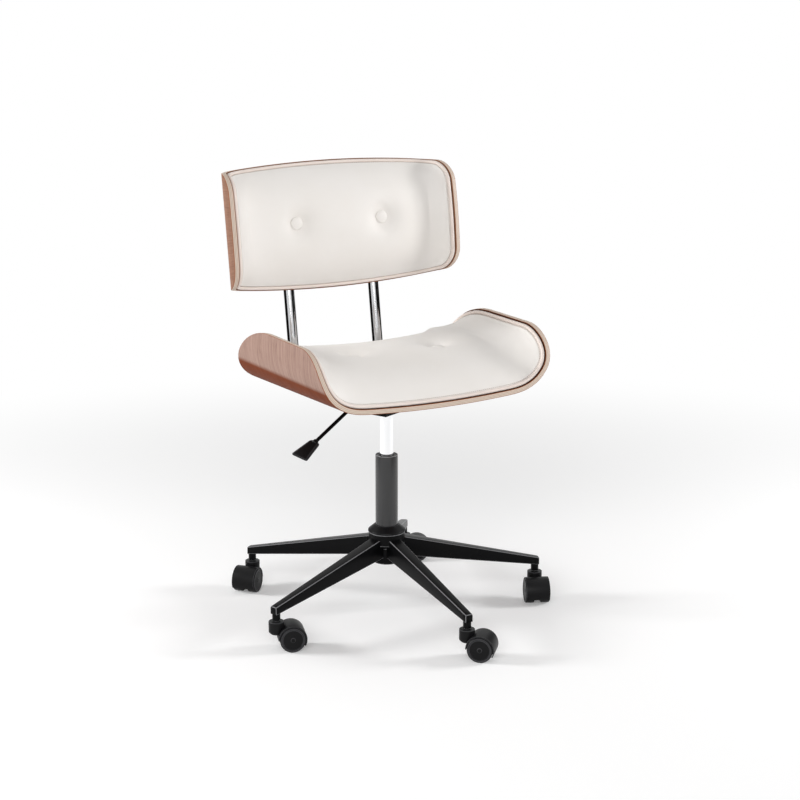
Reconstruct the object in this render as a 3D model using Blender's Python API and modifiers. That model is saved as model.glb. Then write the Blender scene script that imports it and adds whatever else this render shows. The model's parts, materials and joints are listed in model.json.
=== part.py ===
"""Swivel office chair with a curved plywood seat and back, in metres, +Z up.

The sitter faces -Y. Pieces are measured from the column's axis on the floor, which
lies COLUMN_Y behind the origin, so that the origin is under the middle of the chair.
"""
import math

import bmesh
import bpy
from mathutils import Matrix, Vector

# Frame
COLUMN_Y = 0.0474
FIT = 0.0003            # gap between pieces that touch
CHAMFER = 0.0008        # small broken edge
MERGE = 0.00001         # distance under which two vertices are one
ROUND_SIDES = 24        # sides of the large round pieces
HOOD_SIDES = 20         # sides of the castor hoods
SMALL_SIDES = 12        # sides of the small round pieces
PIN_SIDES = 8           # sides of pins, axles and holes
BOLT_SIDES = 6          # sides of the hexagon bolts and their nuts

# Seat shell, outer face, measured along the curved section and from front to back
SEAT_HEIGHT = 0.4578
SEAT_PITCH = 0.029
SEAT_HALF = 0.3385
SEAT_FRONT = 0.2100
SEAT_REAR = 0.1750
SEAT_FRONT_CORNER = 0.0800
SEAT_REAR_CORNER = (0.1300, 0.1700)
SEAT_RADIUS = 2.1834
SEAT_BEND_START = 0.1485
SEAT_BEND_END = 0.3304
SEAT_BEND = 1.50
SEAT_SPLAY = 0.0156
PLY = 0.0100

# Castors
WHEEL_R = 0.025
WHEEL_WIDTH = 0.0182
WHEEL_GAP = 0.0136
WHEEL_RIM = 0.0022
CASTOR_TRAIL = 0.0285
HOOD_WALL = 0.0020
HOOD_CLEAR = 0.0016
HOOD_WIDTH = 0.0460
HOOD_EDGE_Z = 0.0245
WEB_CLEAR = 0.0004
BOSS_R = 0.0150
BOSS_TOP = 0.0575
BOSS_HEIGHT = 0.0215
BOSS_TAPER = 0.0045
AXLE_R = 0.0030
AXLE_BOSS_R = 0.0075
AXLE_END = 0.0035
AXLE_ROOM = 0.0030
WHEEL_DISH = 0.0006
BORE_CLEAR = 0.0005
STEM_LOW_R = 0.0040
STEM_FLANGE_R = 0.0065
STEM_FLANGE = 0.0012
STEM_FOOT = 0.0390
CASTOR_HEADINGS = (-42.8, 246.0, -30.0, 222.2, -18.5)

# Star base
ARM_COUNT = 5
ARM_PHASE = -90.0
STEM_CIRCLE_R = 0.3090
SOCKET_R = 0.0078
SOCKET_FOOT = 0.0594
ARM_END = 0.0078
ARM_TOP_TIP = 0.0874
ARM_TOP_RISE = 0.232
ARM_FOOT_TIP = 0.0730
ARM_FOOT_RISE = 0.145
ARM_ROOT_R = 0.0250
ARM_ROOT_WIDTH = 0.0270
ARM_TIP_WIDTH = 0.0160
ARM_EDGE = 0.0034
HUB_FOOT = 0.1000
HUB_SLEEVE_R = 0.0270
HUB_CHAMFER = 0.0030
HUB_NECK = 0.1340
HUB_HEAD_R = 0.0365
HUB_HEAD_FOOT = 0.1400
HUB_TOP = 0.1640
COVER_R = 0.0375
COVER_RIM = 0.0024
COVER_HEIGHT = 0.0142

# Column and gas lift
TUBE_R = 0.0225
TUBE_WALL = 0.0015
TUBE_FOOT = 0.1010
TUBE_TOP = 0.3225
BUSH_LENGTH = 0.0870
CYLINDER_R = 0.0140
CYLINDER_RUNNING = 0.00045
CYLINDER_WALL = 0.0020
CYLINDER_FOOT = 0.2250
CYLINDER_TOP = SEAT_HEIGHT - 0.0218
TAPER_LENGTH = 0.0400
TAPER_DROP = 0.0009
VALVE_BLOCK = 0.0200
VALVE_R = 0.0040
VALVE_RISE = 0.0025
VALVE_LENGTH = 0.0200
ROD_R = 0.0050
ROD_FOOT_R = 0.0040
ROD_NECK_R = 0.0030
PLATE_UP = 0.0035
PLATE_THICK = 0.0030
WASHER_THICK = 0.0016
WASHER_R = 0.0105
BALL_R = 0.0019
BALL_CIRCLE_R = 0.0078
BALL_COUNT = 8
CAGE_WALL = 0.0010
CAGE_SPAN = 0.0018
BUMP_R = 0.0100
BUMP_HEIGHT = 0.0100
GUIDE_LENGTH = 0.0180
PISTON_HEIGHT = 0.0100
PISTON_RISE = 0.0060
PISTON_PEEN = 0.0015
RING_R = 0.0075
RING_THICK = 0.0012
RING_UP = 0.0012
RING_GROOVE = 0.0018
BUSH_DROP = 0.0010

# Back shell, outer face
BACK_HEIGHT = SEAT_HEIGHT + 0.2950
BACK_DEPTH = 0.2385
BACK_LEAN = 0.149
BACK_HALF = 0.3133
BACK_HALF_HEIGHT = 0.1293
BACK_CORNER = 0.0465
BACK_BEND_START = 0.1820
BACK_BEND_END = 0.2830
BACK_BEND = 1.395
BACK_CROWN = 0.168
BACK_BOW = 0.018

# Cushions
BOARD_GAP = 0.0018
BOARD = 0.0040
BOARD_INSET = 0.0100
WELT_R = 0.0030
WELT_INSET = 0.0060
WELT_LIFT = 0.0040
SEAT_LOFT = 0.0665
SEAT_LOFT_POWER = (6.5, 3.8)
BACK_LOFT = 0.0390
BACK_LOFT_POWER = (4.0, 3.2)
EDGE_LIFT = 0.0035
TUFT_DEPTH = 0.0090
TUFT_R = 0.0430
TUFT_FLAT = 0.0165
BUTTON_R = 0.0130
BUTTON_THICK = 0.0050
SEAT_BUTTON = (0.0967, -0.0406)
SEAT_ROWS = 11
BACK_ROWS = 10
END_STEPS = 5
SEAT_STATIONS = [0.136, 0.162, 0.186, 0.208, 0.228, 0.248, 0.268, 0.290]
BACK_STATIONS = [0.135, 0.160, 0.182, 0.200, 0.217, 0.234, 0.250, 0.2668]
BACK_BUTTON = (0.0964, 0.0057)

# Fasteners
BOLT_R = 0.0030
BOLT_HEAD_R = 0.0055
BOLT_HEAD = 0.0035
NUT_BARREL_R = 0.0040
NUT_FLANGE_R = 0.0075
NUT_FLANGE = 0.0011
NUT_FOOT = 0.0020
PLATE_BOLT = (0.0680, 0.0700)
SEAT_POST_BOLTS = (-0.0050, 0.1050)
BACK_POST_BOLTS = (-0.0700, 0.0250)

# Back posts
POST_X = 0.0973
POST_R = 0.0110
POST_WALL = 0.0015
POST_SIDES = 12
POST_BEND_STEPS = 7
POST_BEND_R = 0.0320
POST_FRONT = -0.0200
POST_TOP = 0.0480
PLUG_RIM = 0.0020
PLUG_DEPTH = 0.0100

# Seat plate and lift housing
SEAT_PLATE = (0.1640, 0.1800, 0.0030)
PAD_R = 0.0110
HOUSING = (0.0820, 0.0560)
HOUSING_WALL = 0.0030
HOUSING_FOOT = SEAT_HEIGHT - 0.0468
TAPER_SOCKET_WALL = 0.0044
TAPER_SOCKET_BORE = 0.0100
LEVER_SLOT_ROOM = 0.0030
TAPER_SOCKET = (SEAT_HEIGHT - 0.0498, SEAT_HEIGHT - 0.0258)

# Height lever
LEVER_HEADING = 25.0
LEVER_PIVOT = (0.0300, SEAT_HEIGHT - 0.0168)
LEVER_ROD_R = 0.0035
LEVER_HUB_R = 0.0050
LEVER_HUB_WIDTH = 0.0140
LEVER_BEND_AT = 0.1170
LEVER_SLOPE = 20.9
LEVER_PADDLE_AT = 0.2290
LEVER_PADDLE = (0.0520, 0.0210, 0.0350, 0.0060)
LEVER_PADDLE_ROLL = 15.9
LEVER_PIN_R = 0.0025
LEVER_PIN_PROUD = 0.0010
LEVER_BEND_REACH = 0.0100
LEVER_ROD_IN_PADDLE = 0.0060
LEVER_LIFT_GAP = 0.0004
PADDLE_EDGE = 0.0015
PADDLE_THIN = 0.75
PADDLE_SOCKET = 0.0100

BLACK_STEEL = ("black_steel", (0.015, 0.015, 0.016), 0.38, 0.6)
BLACK_PLASTIC = ("black_plastic", (0.02, 0.02, 0.021), 0.45, 0.0)
BUSH_PLASTIC = ("bush_plastic", (0.03, 0.03, 0.03), 0.5, 0.0)
BRIGHT_STEEL = ("bright_steel", (0.55, 0.56, 0.58), 0.3, 1.0)
CHROME = ("chrome", (0.85, 0.86, 0.88), 0.06, 1.0)
RUBBER = ("rubber", (0.03, 0.03, 0.03), 0.8, 0.0)
WALNUT = ("walnut_ply", (0.25, 0.10, 0.045), 0.45, 0.0)
BOARD_PLY = ("board_ply", (0.55, 0.42, 0.28), 0.7, 0.0)
LEATHERETTE = ("cream_leatherette", (0.82, 0.79, 0.75), 0.5, 0.0)
WELT_TRIM = ("welt_trim", (0.85, 0.78, 0.70), 0.5, 0.0)


def clear_scene():
    for old in list(bpy.data.objects):
        bpy.data.objects.remove(old, do_unlink=True)


def collection(name):
    made = bpy.data.collections.new(name)
    bpy.context.scene.collection.children.link(made)
    return made


clear_scene()
CHAIR = collection("office_chair")
CUTTERS = collection("cutters")


def material(kind):
    """One Principled material for each finish, shared by the pieces that have it."""
    name, colour, rough, metal = kind
    if name in bpy.data.materials:
        return bpy.data.materials[name]
    made = bpy.data.materials.new(name)
    made.use_nodes = True
    shader = made.node_tree.nodes["Principled BSDF"]
    shader.inputs["Base Color"].default_value = (*colour, 1.0)
    shader.inputs["Roughness"].default_value = rough
    shader.inputs["Metallic"].default_value = metal
    return made


def empty(name, location=(0, 0, 0), turn=0.0, parent=None):
    """A placing frame, turned about Z by an angle in degrees."""
    made = bpy.data.objects.new(name, None)
    CHAIR.objects.link(made)
    made.location = location
    made.rotation_euler = (0, 0, math.radians(turn))
    made.parent = parent
    return made


def piece(name, mesh, finish, parent, location=(0, 0, 0), rotation=(0, 0, 0)):
    made = bpy.data.objects.new(name, mesh)
    CHAIR.objects.link(made)
    made.location = location
    made.rotation_euler = rotation
    made.parent = parent
    if not mesh.materials:
        mesh.materials.append(material(finish))
    mesh.shade_smooth()
    mesh.set_sharp_from_angle(angle=math.radians(35))
    return made


def evaluated(made):
    """The mesh that an object's modifiers or curve settings give, in its own frame."""
    bpy.context.view_layer.update()
    graph = bpy.context.evaluated_depsgraph_get()
    mesh = bpy.data.meshes.new_from_object(made.evaluated_get(graph))
    bpy.data.objects.remove(made, do_unlink=True)
    return mesh


def temporary(mesh):
    made = bpy.data.objects.new("temporary", mesh)
    CUTTERS.objects.link(made)
    return made


def turned(profile, sides):
    """A solid turned about Z from (radius, height) points, outer side top to bottom."""
    mesh = bpy.data.meshes.new("profile")
    closed = profile[0][0] > 0
    count = len(profile)
    edges = [(i, i + 1) for i in range(count - 1)]
    if closed:
        edges.append((count - 1, 0))
    mesh.from_pydata([(r, 0, z) for r, z in profile], edges, [])
    made = temporary(mesh)
    screw = made.modifiers.new("turn", "SCREW")
    screw.steps = sides
    screw.render_steps = sides
    screw.use_merge_vertices = True
    screw.merge_threshold = MERGE
    return evaluated(made)


def ring(outer, inner, top, foot):
    return [(outer, top), (outer, foot), (inner, foot), (inner, top)]


def disc(radius, top, foot):
    return [(0, top), (radius, top), (radius, foot), (0, foot)]


def box(size, centre, turn=None):
    """A box mesh with its size and centre, turned about its centre if asked."""
    shape = bmesh.new()
    matrix = Matrix.Translation(centre) @ (turn or Matrix()) @ Matrix.Diagonal((*size, 1))
    bmesh.ops.create_cube(shape, size=1.0, matrix=matrix)
    mesh = bpy.data.meshes.new("box")
    shape.to_mesh(mesh)
    shape.free()
    return mesh


def bar(radius, length, centre, axis, sides):
    """A round bar along an axis, as a mesh."""
    shape = bmesh.new()
    turn = Vector((0, 0, 1)).rotation_difference(Vector(axis)).to_matrix().to_4x4()
    bmesh.ops.create_cone(shape, cap_ends=True, segments=sides, radius1=radius, radius2=radius,
                          depth=length, matrix=Matrix.Translation(centre) @ turn)
    mesh = bpy.data.meshes.new("bar")
    shape.to_mesh(mesh)
    shape.free()
    return mesh


def moved(mesh, matrix):
    made = mesh.copy()
    made.transform(matrix)
    return made


def gathered(meshes):
    """Several meshes in one, each still a body of its own."""
    shape = bmesh.new()
    for mesh in meshes:
        shape.from_mesh(mesh)
    made = bpy.data.meshes.new("gathered")
    shape.to_mesh(made)
    shape.free()
    return made


def combined(mesh, others, operation):
    """A Boolean of a mesh with each of the others in turn."""
    made = temporary(mesh)
    helpers = []
    for other in others:
        helper = temporary(other)
        helper.hide_render = True
        helper.display_type = "WIRE"
        step = made.modifiers.new("step", "BOOLEAN")
        step.operation = operation
        step.object = helper
        helpers.append(helper)
    result = evaluated(made)
    for helper in helpers:
        bpy.data.objects.remove(helper, do_unlink=True)
    return result


def joined(mesh, *others):
    return combined(mesh, others, "UNION")


def cut(mesh, *others):
    return combined(mesh, others, "DIFFERENCE")


# Curved sheets


def section(along, curve, bend_start, bend_end, bend):
    """Point and slope on a sheet's section at a distance from its middle."""
    steps = 48
    step = along / steps
    x = z = 0.0
    for i in range(steps):
        x += math.cos(slope((i + 0.5) * step, curve, bend_start, bend_end, bend)) * step
        z += math.sin(slope((i + 0.5) * step, curve, bend_start, bend_end, bend)) * step
    return x, z, slope(along, curve, bend_start, bend_end, bend)


def slope(along, curve, bend_start, bend_end, bend):
    share = min(max((along - bend_start) / (bend_end - bend_start), 0.0), 1.0)
    return curve * along + bend * share * share * (3 - 2 * share)


def seat_point(along, across, height):
    """A point over the seat shell's outer face, across running to the rear."""
    reach = abs(along) * (1 + SEAT_SPLAY * across / SEAT_REAR)
    x, z, angle = section(reach, 1 / SEAT_RADIUS, SEAT_BEND_START, SEAT_BEND_END, SEAT_BEND)
    x = math.copysign(x - height * math.sin(angle), along)
    z += height * math.cos(angle)
    tilt = (math.cos(SEAT_PITCH), math.sin(SEAT_PITCH))
    return Vector((x, across * tilt[0] + z * tilt[1], SEAT_HEIGHT + z * tilt[0] - across * tilt[1]))


def back_point(along, across, height):
    """A point in front of the back shell's outer face, across running upwards."""
    reach = abs(along) * (1 - BACK_BOW * (across / BACK_HALF_HEIGHT) ** 2)
    rise = across * (1 - BACK_CROWN * (along / BACK_HALF) ** 2)
    x, out, angle = section(reach, 0.0, BACK_BEND_START, BACK_BEND_END, BACK_BEND)
    x = math.copysign(x - height * math.sin(angle), along)
    out += height * math.cos(angle)
    lean = (math.cos(BACK_LEAN), math.sin(BACK_LEAN))
    return Vector((x, BACK_DEPTH - out * lean[0] + rise * lean[1],
                   BACK_HEIGHT + out * lean[1] + rise * lean[0]))


def surface_frame(point, along, across):
    """A frame on a sheet's outer face, its Z axis pointing at the sitter."""
    origin = point(along, across, 0.0)
    up = (point(along, across, 0.01) - origin).normalized()
    side = (point(along + 0.001, across, 0.0) - origin).normalized()
    other = up.cross(side).normalized()
    matrix = Matrix((side, other, up)).transposed().to_4x4()
    return Matrix.Translation(origin) @ matrix


class Outline:
    """A rounded rectangle laid out flat: half length, low and high edges, corners."""

    def __init__(self, half, low, high, low_corner, high_corner, inset=0.0):
        self.half = half - inset
        self.low = low + inset
        self.high = high - inset
        self.low_corner = tuple(size - inset for size in low_corner)
        self.high_corner = tuple(size - inset for size in high_corner)

    def limits(self, along):
        """Low and high edge at a distance from the middle."""
        low = self.low + corner_rise(abs(along), self.half, self.low_corner)
        high = self.high - corner_rise(abs(along), self.half, self.high_corner)
        return low, high

    def stations(self, inner, rounds):
        """Distances along the outline: the shared inner ones, then closer to the end."""
        start = inner[-1]
        reach = self.half - start
        outer = [start + reach * math.sin(math.pi / 2 * i / rounds) for i in range(1, rounds + 1)]
        half = inner + outer
        return [-s for s in reversed(half) if s > 0] + half

    def shares(self, rows, marks):
        """Shares from the low to the high edge, with rows at the marks."""
        span = self.high - self.low
        spots = [self.low + span * share for share in eased(rows)]
        return [(spot - self.low) / span for spot in with_marks(spots, marks)]


def with_marks(spots, marks):
    """Spots in order, with the marks in place of the spots close to them."""
    near = 0.55 * (spots[-1] - spots[0]) / len(spots)
    keep = [spot for spot in spots[1:-1] if all(abs(spot - mark) > near for mark in marks)]
    return sorted([spots[0], spots[-1]] + keep + list(marks))


def corner_rise(along, half, corner):
    reach, rise = corner
    past = min(max(along - (half - reach), 0.0), reach)
    return rise * (1 - math.sqrt(max(0.0, 1 - (past / reach) ** 2)))


def seat_outline(inset=0.0):
    return Outline(SEAT_HALF, -SEAT_FRONT, SEAT_REAR, (SEAT_FRONT_CORNER,) * 2,
                   SEAT_REAR_CORNER, inset)


def back_outline(inset=0.0):
    return Outline(BACK_HALF, -BACK_HALF_HEIGHT, BACK_HALF_HEIGHT, (BACK_CORNER,) * 2,
                   (BACK_CORNER,) * 2, inset)


def grid_sheet(point, outline, stations, shares, height):
    """A grid over an outline, each vertex set at its height over the sheet."""
    shape = bmesh.new()
    bmesh.ops.create_grid(shape, x_segments=len(stations) - 1, y_segments=len(shares) - 1, size=1.0)
    for vert in shape.verts:
        column = round((vert.co.x + 1) / 2 * (len(stations) - 1))
        row = round((vert.co.y + 1) / 2 * (len(shares) - 1))
        along = stations[column]
        low, high = outline.limits(along)
        across = low + (high - low) * shares[row]
        vert.co = point(along, across, height(along, across))
    return shape


def even(count):
    return [i / count for i in range(count + 1)]


def eased(count):
    """Shares from 0 to 1, closer together near the ends."""
    return [(1 - math.cos(math.pi * i / count)) / 2 * 0.55 + i / count * 0.45 for i in range(count + 1)]


def sheet(point, outline, stations, rows, height, thickness):
    """A curved plywood sheet: an open surface given its thickness."""
    shape = grid_sheet(point, outline, stations, even(rows), lambda along, across: height)
    mesh = bpy.data.meshes.new("sheet")
    shape.to_mesh(mesh)
    shape.free()
    made = temporary(mesh)
    wall = made.modifiers.new("wall", "SOLIDIFY")
    wall.thickness = thickness
    wall.offset = 1.0
    wall.use_even_offset = True
    return evaluated(made)


def loft_share(along, across, outline, power):
    """How full a cushion is at a place: 1 in the middle, 0 on its outline."""
    low, high = outline.limits(along)
    middle = (outline.low + outline.high) / 2
    edge = high if across > middle else low
    share = (across - middle) / (edge - middle) if abs(edge - middle) > 0.001 else 1.0
    length = abs(along) / outline.half
    return max(0.0, 1 - length ** power[0]) * max(0.0, 1 - min(1.0, abs(share)) ** power[1])


def tuft(along, across, button):
    """How far a place is drawn down to the nearer button: 1 under it, 0 beyond its tuft."""
    gap = math.hypot(abs(along) - button[0], across - button[1])
    flat = TUFT_FLAT * math.sqrt(2)
    share = min(max((TUFT_R - gap) / (TUFT_R - flat), 0.0), 1.0)
    return share * share * (3 - 2 * share)


def cushion_top(outline, loft, power, button):
    """The height of a cushion's top, crowned and drawn down to a flat at its buttons."""
    base = PLY + BOARD_GAP + BOARD + FIT + EDGE_LIFT
    floor = base + loft * loft_share(*button, outline, power) - TUFT_DEPTH

    def height(along, across):
        crown = base + loft * loft_share(along, across, outline, power)
        return crown + (floor - crown) * tuft(along, across, button)
    return height


def cushion(point, outline, stations, shares, top, base):
    """A crowned cushion: its top, upright sides drawn down from it, and an underside."""
    shape = grid_sheet(point, outline, stations, shares, top)
    rim = [edge for edge in shape.edges if edge.is_boundary]
    walls = bmesh.ops.extrude_edge_only(shape, edges=rim)["geom"]
    feet = [vert for vert in walls if isinstance(vert, bmesh.types.BMVert)]
    places = rim_places(point, outline, stations, shares, top)
    for foot in feet:
        along, across = min(places, key=lambda place: (place[2] - foot.co).length)[:2]
        foot.co = point(along, across, base)
    edges = [edge for edge in walls if isinstance(edge, bmesh.types.BMEdge) and edge.is_boundary]
    last = [point(side * outline.half, 0, base).x for side in (-1, 1)]
    ends = [edge for edge in edges
            if all(min(abs(vert.co.x - x) for x in last) < MERGE * 10 for vert in edge.verts)]
    bmesh.ops.bridge_loops(shape, edges=[edge for edge in edges if edge not in ends])
    bmesh.ops.holes_fill(shape, edges=[edge for edge in shape.edges if edge.is_boundary], sides=0)
    bmesh.ops.recalc_face_normals(shape, faces=shape.faces[:])
    mesh = bpy.data.meshes.new("cushion")
    shape.to_mesh(mesh)
    shape.free()
    return mesh


def rim_places(point, outline, stations, shares, top):
    """The places round a grid's rim, each with its point on the top."""
    places = []
    for along in stations:
        low, high = outline.limits(along)
        places += [(along, low), (along, high)]
    for along in (stations[0], stations[-1]):
        low, high = outline.limits(along)
        places += [(along, low + (high - low) * share) for share in shares[1:-1]]
    return [(along, across, point(along, across, top(along, across))) for along, across in places]


def outline_loop(outline, stations, steps):
    """Points round an outline: its low edge, one end, its high edge and the other end."""
    low, high = outline.limits(outline.half)
    rows = [low + (high - low) * i / steps for i in range(1, steps)]
    near = [(s, outline.limits(s)[0]) for s in stations]
    far = [(s, outline.limits(s)[1]) for s in reversed(stations)]
    return near + [(outline.half, w) for w in rows] + far + [(-outline.half, w) for w in reversed(rows)]


def tube(points, radius, resolution, cyclic, caps):
    """A round tube along points, as a mesh with its caps welded."""
    curve = bpy.data.curves.new("tube", "CURVE")
    curve.dimensions = "3D"
    curve.bevel_depth = radius
    curve.bevel_resolution = resolution
    curve.use_fill_caps = caps
    spline = curve.splines.new("POLY")
    spline.points.add(len(points) - 1)
    for target, point in zip(spline.points, points):
        target.co = (*point, 1.0)
    spline.use_cyclic_u = cyclic
    mesh = evaluated(temporary(curve))
    shape = bmesh.new()
    shape.from_mesh(mesh)
    bmesh.ops.remove_doubles(shape, verts=shape.verts[:], dist=MERGE)
    bmesh.ops.recalc_face_normals(shape, faces=shape.faces[:])
    shape.to_mesh(mesh)
    shape.free()
    return mesh


# Base


def arm_top(radius):
    return ARM_TOP_TIP + ARM_TOP_RISE * (STEM_CIRCLE_R + ARM_END - radius)


def arm_foot(radius):
    return ARM_FOOT_TIP + ARM_FOOT_RISE * (STEM_CIRCLE_R - radius)


def arm_mesh():
    """One tapered arm along +X with rounded upper edges, and its castor socket."""
    tip = STEM_CIRCLE_R + ARM_END
    shape = bmesh.new()
    bmesh.ops.create_cube(shape, size=2.0)
    for vert in shape.verts:
        outer, side, upper = (value > 0 for value in vert.co)
        radius = tip if outer else ARM_ROOT_R
        width = ARM_TIP_WIDTH if outer else ARM_ROOT_WIDTH
        height = arm_top(radius) if upper else arm_foot(radius)
        vert.co = (radius, width / 2 if side else -width / 2, height)
    long_edges = [e for e in shape.edges if abs(e.verts[0].co.x - e.verts[1].co.x) > SOCKET_R]
    upper_edges = [e for e in long_edges if e.verts[0].co.z > arm_foot(e.verts[0].co.x) + ARM_EDGE]
    bmesh.ops.bevel(shape, geom=upper_edges, offset=ARM_EDGE, segments=2, profile=0.5,
                    affect="EDGES")
    mesh = bpy.data.meshes.new("arm")
    shape.to_mesh(mesh)
    shape.free()
    height = arm_foot(STEM_CIRCLE_R) + ARM_EDGE - SOCKET_FOOT
    centre = (STEM_CIRCLE_R, 0, SOCKET_FOOT + height / 2)
    return joined(mesh, bar(SOCKET_R, height, centre, (0, 0, 1), SMALL_SIDES), stem_mesh())


def stem_mesh():
    """A castor stem pressed in its socket, with the flange that the hood turns under."""
    flange_foot = SOCKET_FOOT - STEM_FLANGE
    stem = turned([(0, SOCKET_FOOT + STEM_FLANGE), (STEM_FLANGE_R, SOCKET_FOOT + STEM_FLANGE),
                   (STEM_FLANGE_R, flange_foot), (STEM_LOW_R, flange_foot), (STEM_LOW_R, STEM_FOOT),
                   (0, STEM_FOOT)], PIN_SIDES)
    return moved(stem, Matrix.Translation((STEM_CIRCLE_R, 0, 0)))


def star_base():
    bore = TUBE_R + FIT
    hub = turned([(HUB_HEAD_R, HUB_TOP), (HUB_HEAD_R, HUB_HEAD_FOOT), (HUB_SLEEVE_R, HUB_NECK),
                  (HUB_SLEEVE_R, HUB_FOOT + HUB_CHAMFER), (HUB_SLEEVE_R - HUB_CHAMFER, HUB_FOOT),
                  (bore, HUB_FOOT), (bore, HUB_TOP)], ROUND_SIDES)
    arm = arm_mesh()
    spins = [Matrix.Rotation(math.radians(ARM_PHASE + 360 / ARM_COUNT * i), 4, "Z")
             for i in range(ARM_COUNT)]
    mesh = joined(hub, *[moved(arm, spin) for spin in spins])
    return cut(mesh, bar(bore, 2 * HUB_TOP, (0, 0, HUB_TOP), (0, 0, 1), ROUND_SIDES))


def hub_cover():
    inner = TUBE_R + FIT * 2
    foot = HUB_TOP + FIT
    return turned([(inner + CHAMFER, foot + COVER_HEIGHT), (COVER_R, foot + COVER_RIM), (COVER_R, foot),
                   (inner, foot), (inner, foot + COVER_HEIGHT)], ROUND_SIDES)


def taper_radius(height):
    """The cylinder's outer radius at a height."""
    down = CYLINDER_TOP - height
    return CYLINDER_R - TAPER_DROP * max(0.0, 1 - down / TAPER_LENGTH)


TUBE_BORE = TUBE_R - TUBE_WALL
LOWER_PLATE_FOOT = TUBE_FOOT + PLATE_UP
LOWER_PLATE_TOP = LOWER_PLATE_FOOT + PLATE_THICK
WASHER_FOOT = LOWER_PLATE_TOP + FIT
WASHER_TOP = WASHER_FOOT + WASHER_THICK
BALL_Z = WASHER_TOP + FIT + BALL_R
UPPER_WASHER_FOOT = BALL_Z + BALL_R + FIT
UPPER_WASHER_TOP = UPPER_WASHER_FOOT + WASHER_THICK
BUMP_FOOT = UPPER_WASHER_TOP + FIT
ROD_SHOULDER = BUMP_FOOT
GUIDE_FOOT = CYLINDER_FOOT + CHAMFER
PISTON_FOOT = GUIDE_FOOT + GUIDE_LENGTH + PISTON_RISE


def ball_race():
    """The thrust bearing's balls, held in their cage."""
    shape = bmesh.new()
    for i in range(BALL_COUNT):
        turn = 2 * math.pi * i / BALL_COUNT
        spot = (BALL_CIRCLE_R * math.cos(turn), BALL_CIRCLE_R * math.sin(turn), BALL_Z)
        bmesh.ops.create_uvsphere(shape, u_segments=6, v_segments=4, radius=BALL_R,
                                  matrix=Matrix.Translation(spot))
    balls = bpy.data.meshes.new("balls")
    shape.to_mesh(balls)
    shape.free()
    cage = turned(ring(BALL_CIRCLE_R + CAGE_SPAN, BALL_CIRCLE_R - CAGE_SPAN, BALL_Z + CAGE_WALL / 2,
                       BALL_Z - CAGE_WALL / 2), SMALL_SIDES)
    return joined(cage, balls)


def stem_spots():
    """Where the castor stems stand on their circle."""
    spots = []
    for i in range(ARM_COUNT):
        turn = math.radians(ARM_PHASE + 360 / ARM_COUNT * i)
        spots.append((STEM_CIRCLE_R * math.cos(turn), STEM_CIRCLE_R * math.sin(turn), 0.0))
    return spots


def build_base(root):
    piece("star_base", star_base(), BLACK_STEEL, root)
    piece("hub_cover", hub_cover(), BLACK_PLASTIC, root)
    piece("column_tube", turned(ring(TUBE_R, TUBE_BORE, TUBE_TOP, TUBE_FOOT), ROUND_SIDES),
          BLACK_STEEL, root)
    bush_bore = (CYLINDER_R + CYLINDER_RUNNING) / math.cos(math.pi / ROUND_SIDES)
    bush = ring(TUBE_BORE - FIT, bush_bore, TUBE_TOP - BUSH_DROP, TUBE_TOP - BUSH_DROP - BUSH_LENGTH)
    piece("guide_bush", turned(bush, ROUND_SIDES), BUSH_PLASTIC, root)
    foot_plate = ring(TUBE_BORE - FIT, ROD_FOOT_R + BORE_CLEAR * 2, LOWER_PLATE_TOP, LOWER_PLATE_FOOT)
    piece("column_base_plate", turned(foot_plate, ROUND_SIDES), BRIGHT_STEEL, root)
    washer = ring(WASHER_R, ROD_FOOT_R + BORE_CLEAR * 2, WASHER_TOP, WASHER_FOOT)
    piece("bearing_lower_washer", turned(washer, SMALL_SIDES), BRIGHT_STEEL, root)
    piece("bearing_ball_race", ball_race(), BRIGHT_STEEL, root)


def build_rod(root):
    top = PISTON_FOOT + PISTON_HEIGHT + PISTON_PEEN
    groove = TUBE_FOOT + RING_UP
    rod = turned([(0, top), (ROD_NECK_R, top), (ROD_NECK_R, PISTON_FOOT), (ROD_R, PISTON_FOOT),
                  (ROD_R, ROD_SHOULDER), (ROD_FOOT_R, ROD_SHOULDER), (ROD_FOOT_R, groove + RING_GROOVE),
                  (ROD_NECK_R, groove + RING_GROOVE), (ROD_NECK_R, groove),
                  (ROD_FOOT_R, groove), (ROD_FOOT_R, TUBE_FOOT), (0, TUBE_FOOT)], SMALL_SIDES)
    piece("piston_rod", rod, BRIGHT_STEEL, root)
    head = ring(CYLINDER_R - CYLINDER_WALL - FIT, ROD_NECK_R + BORE_CLEAR,
                PISTON_FOOT + FIT + PISTON_HEIGHT, PISTON_FOOT + FIT)
    piece("piston_head", turned(head, SMALL_SIDES), BRIGHT_STEEL, root)
    washer = ring(WASHER_R, ROD_FOOT_R + BORE_CLEAR, UPPER_WASHER_TOP, UPPER_WASHER_FOOT)
    piece("bearing_upper_washer", turned(washer, SMALL_SIDES), BRIGHT_STEEL, root)
    bump = ring(BUMP_R, ROD_R + BORE_CLEAR, BUMP_FOOT + BUMP_HEIGHT, BUMP_FOOT)
    piece("bump_stop", turned(bump, SMALL_SIDES), RUBBER, root)
    clip_foot = groove + FIT
    clip = ring(RING_R, ROD_NECK_R + BORE_CLEAR, clip_foot + RING_THICK, clip_foot)
    piece("retaining_ring", turned(clip, SMALL_SIDES), BRIGHT_STEEL, root)


# Castors


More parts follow.
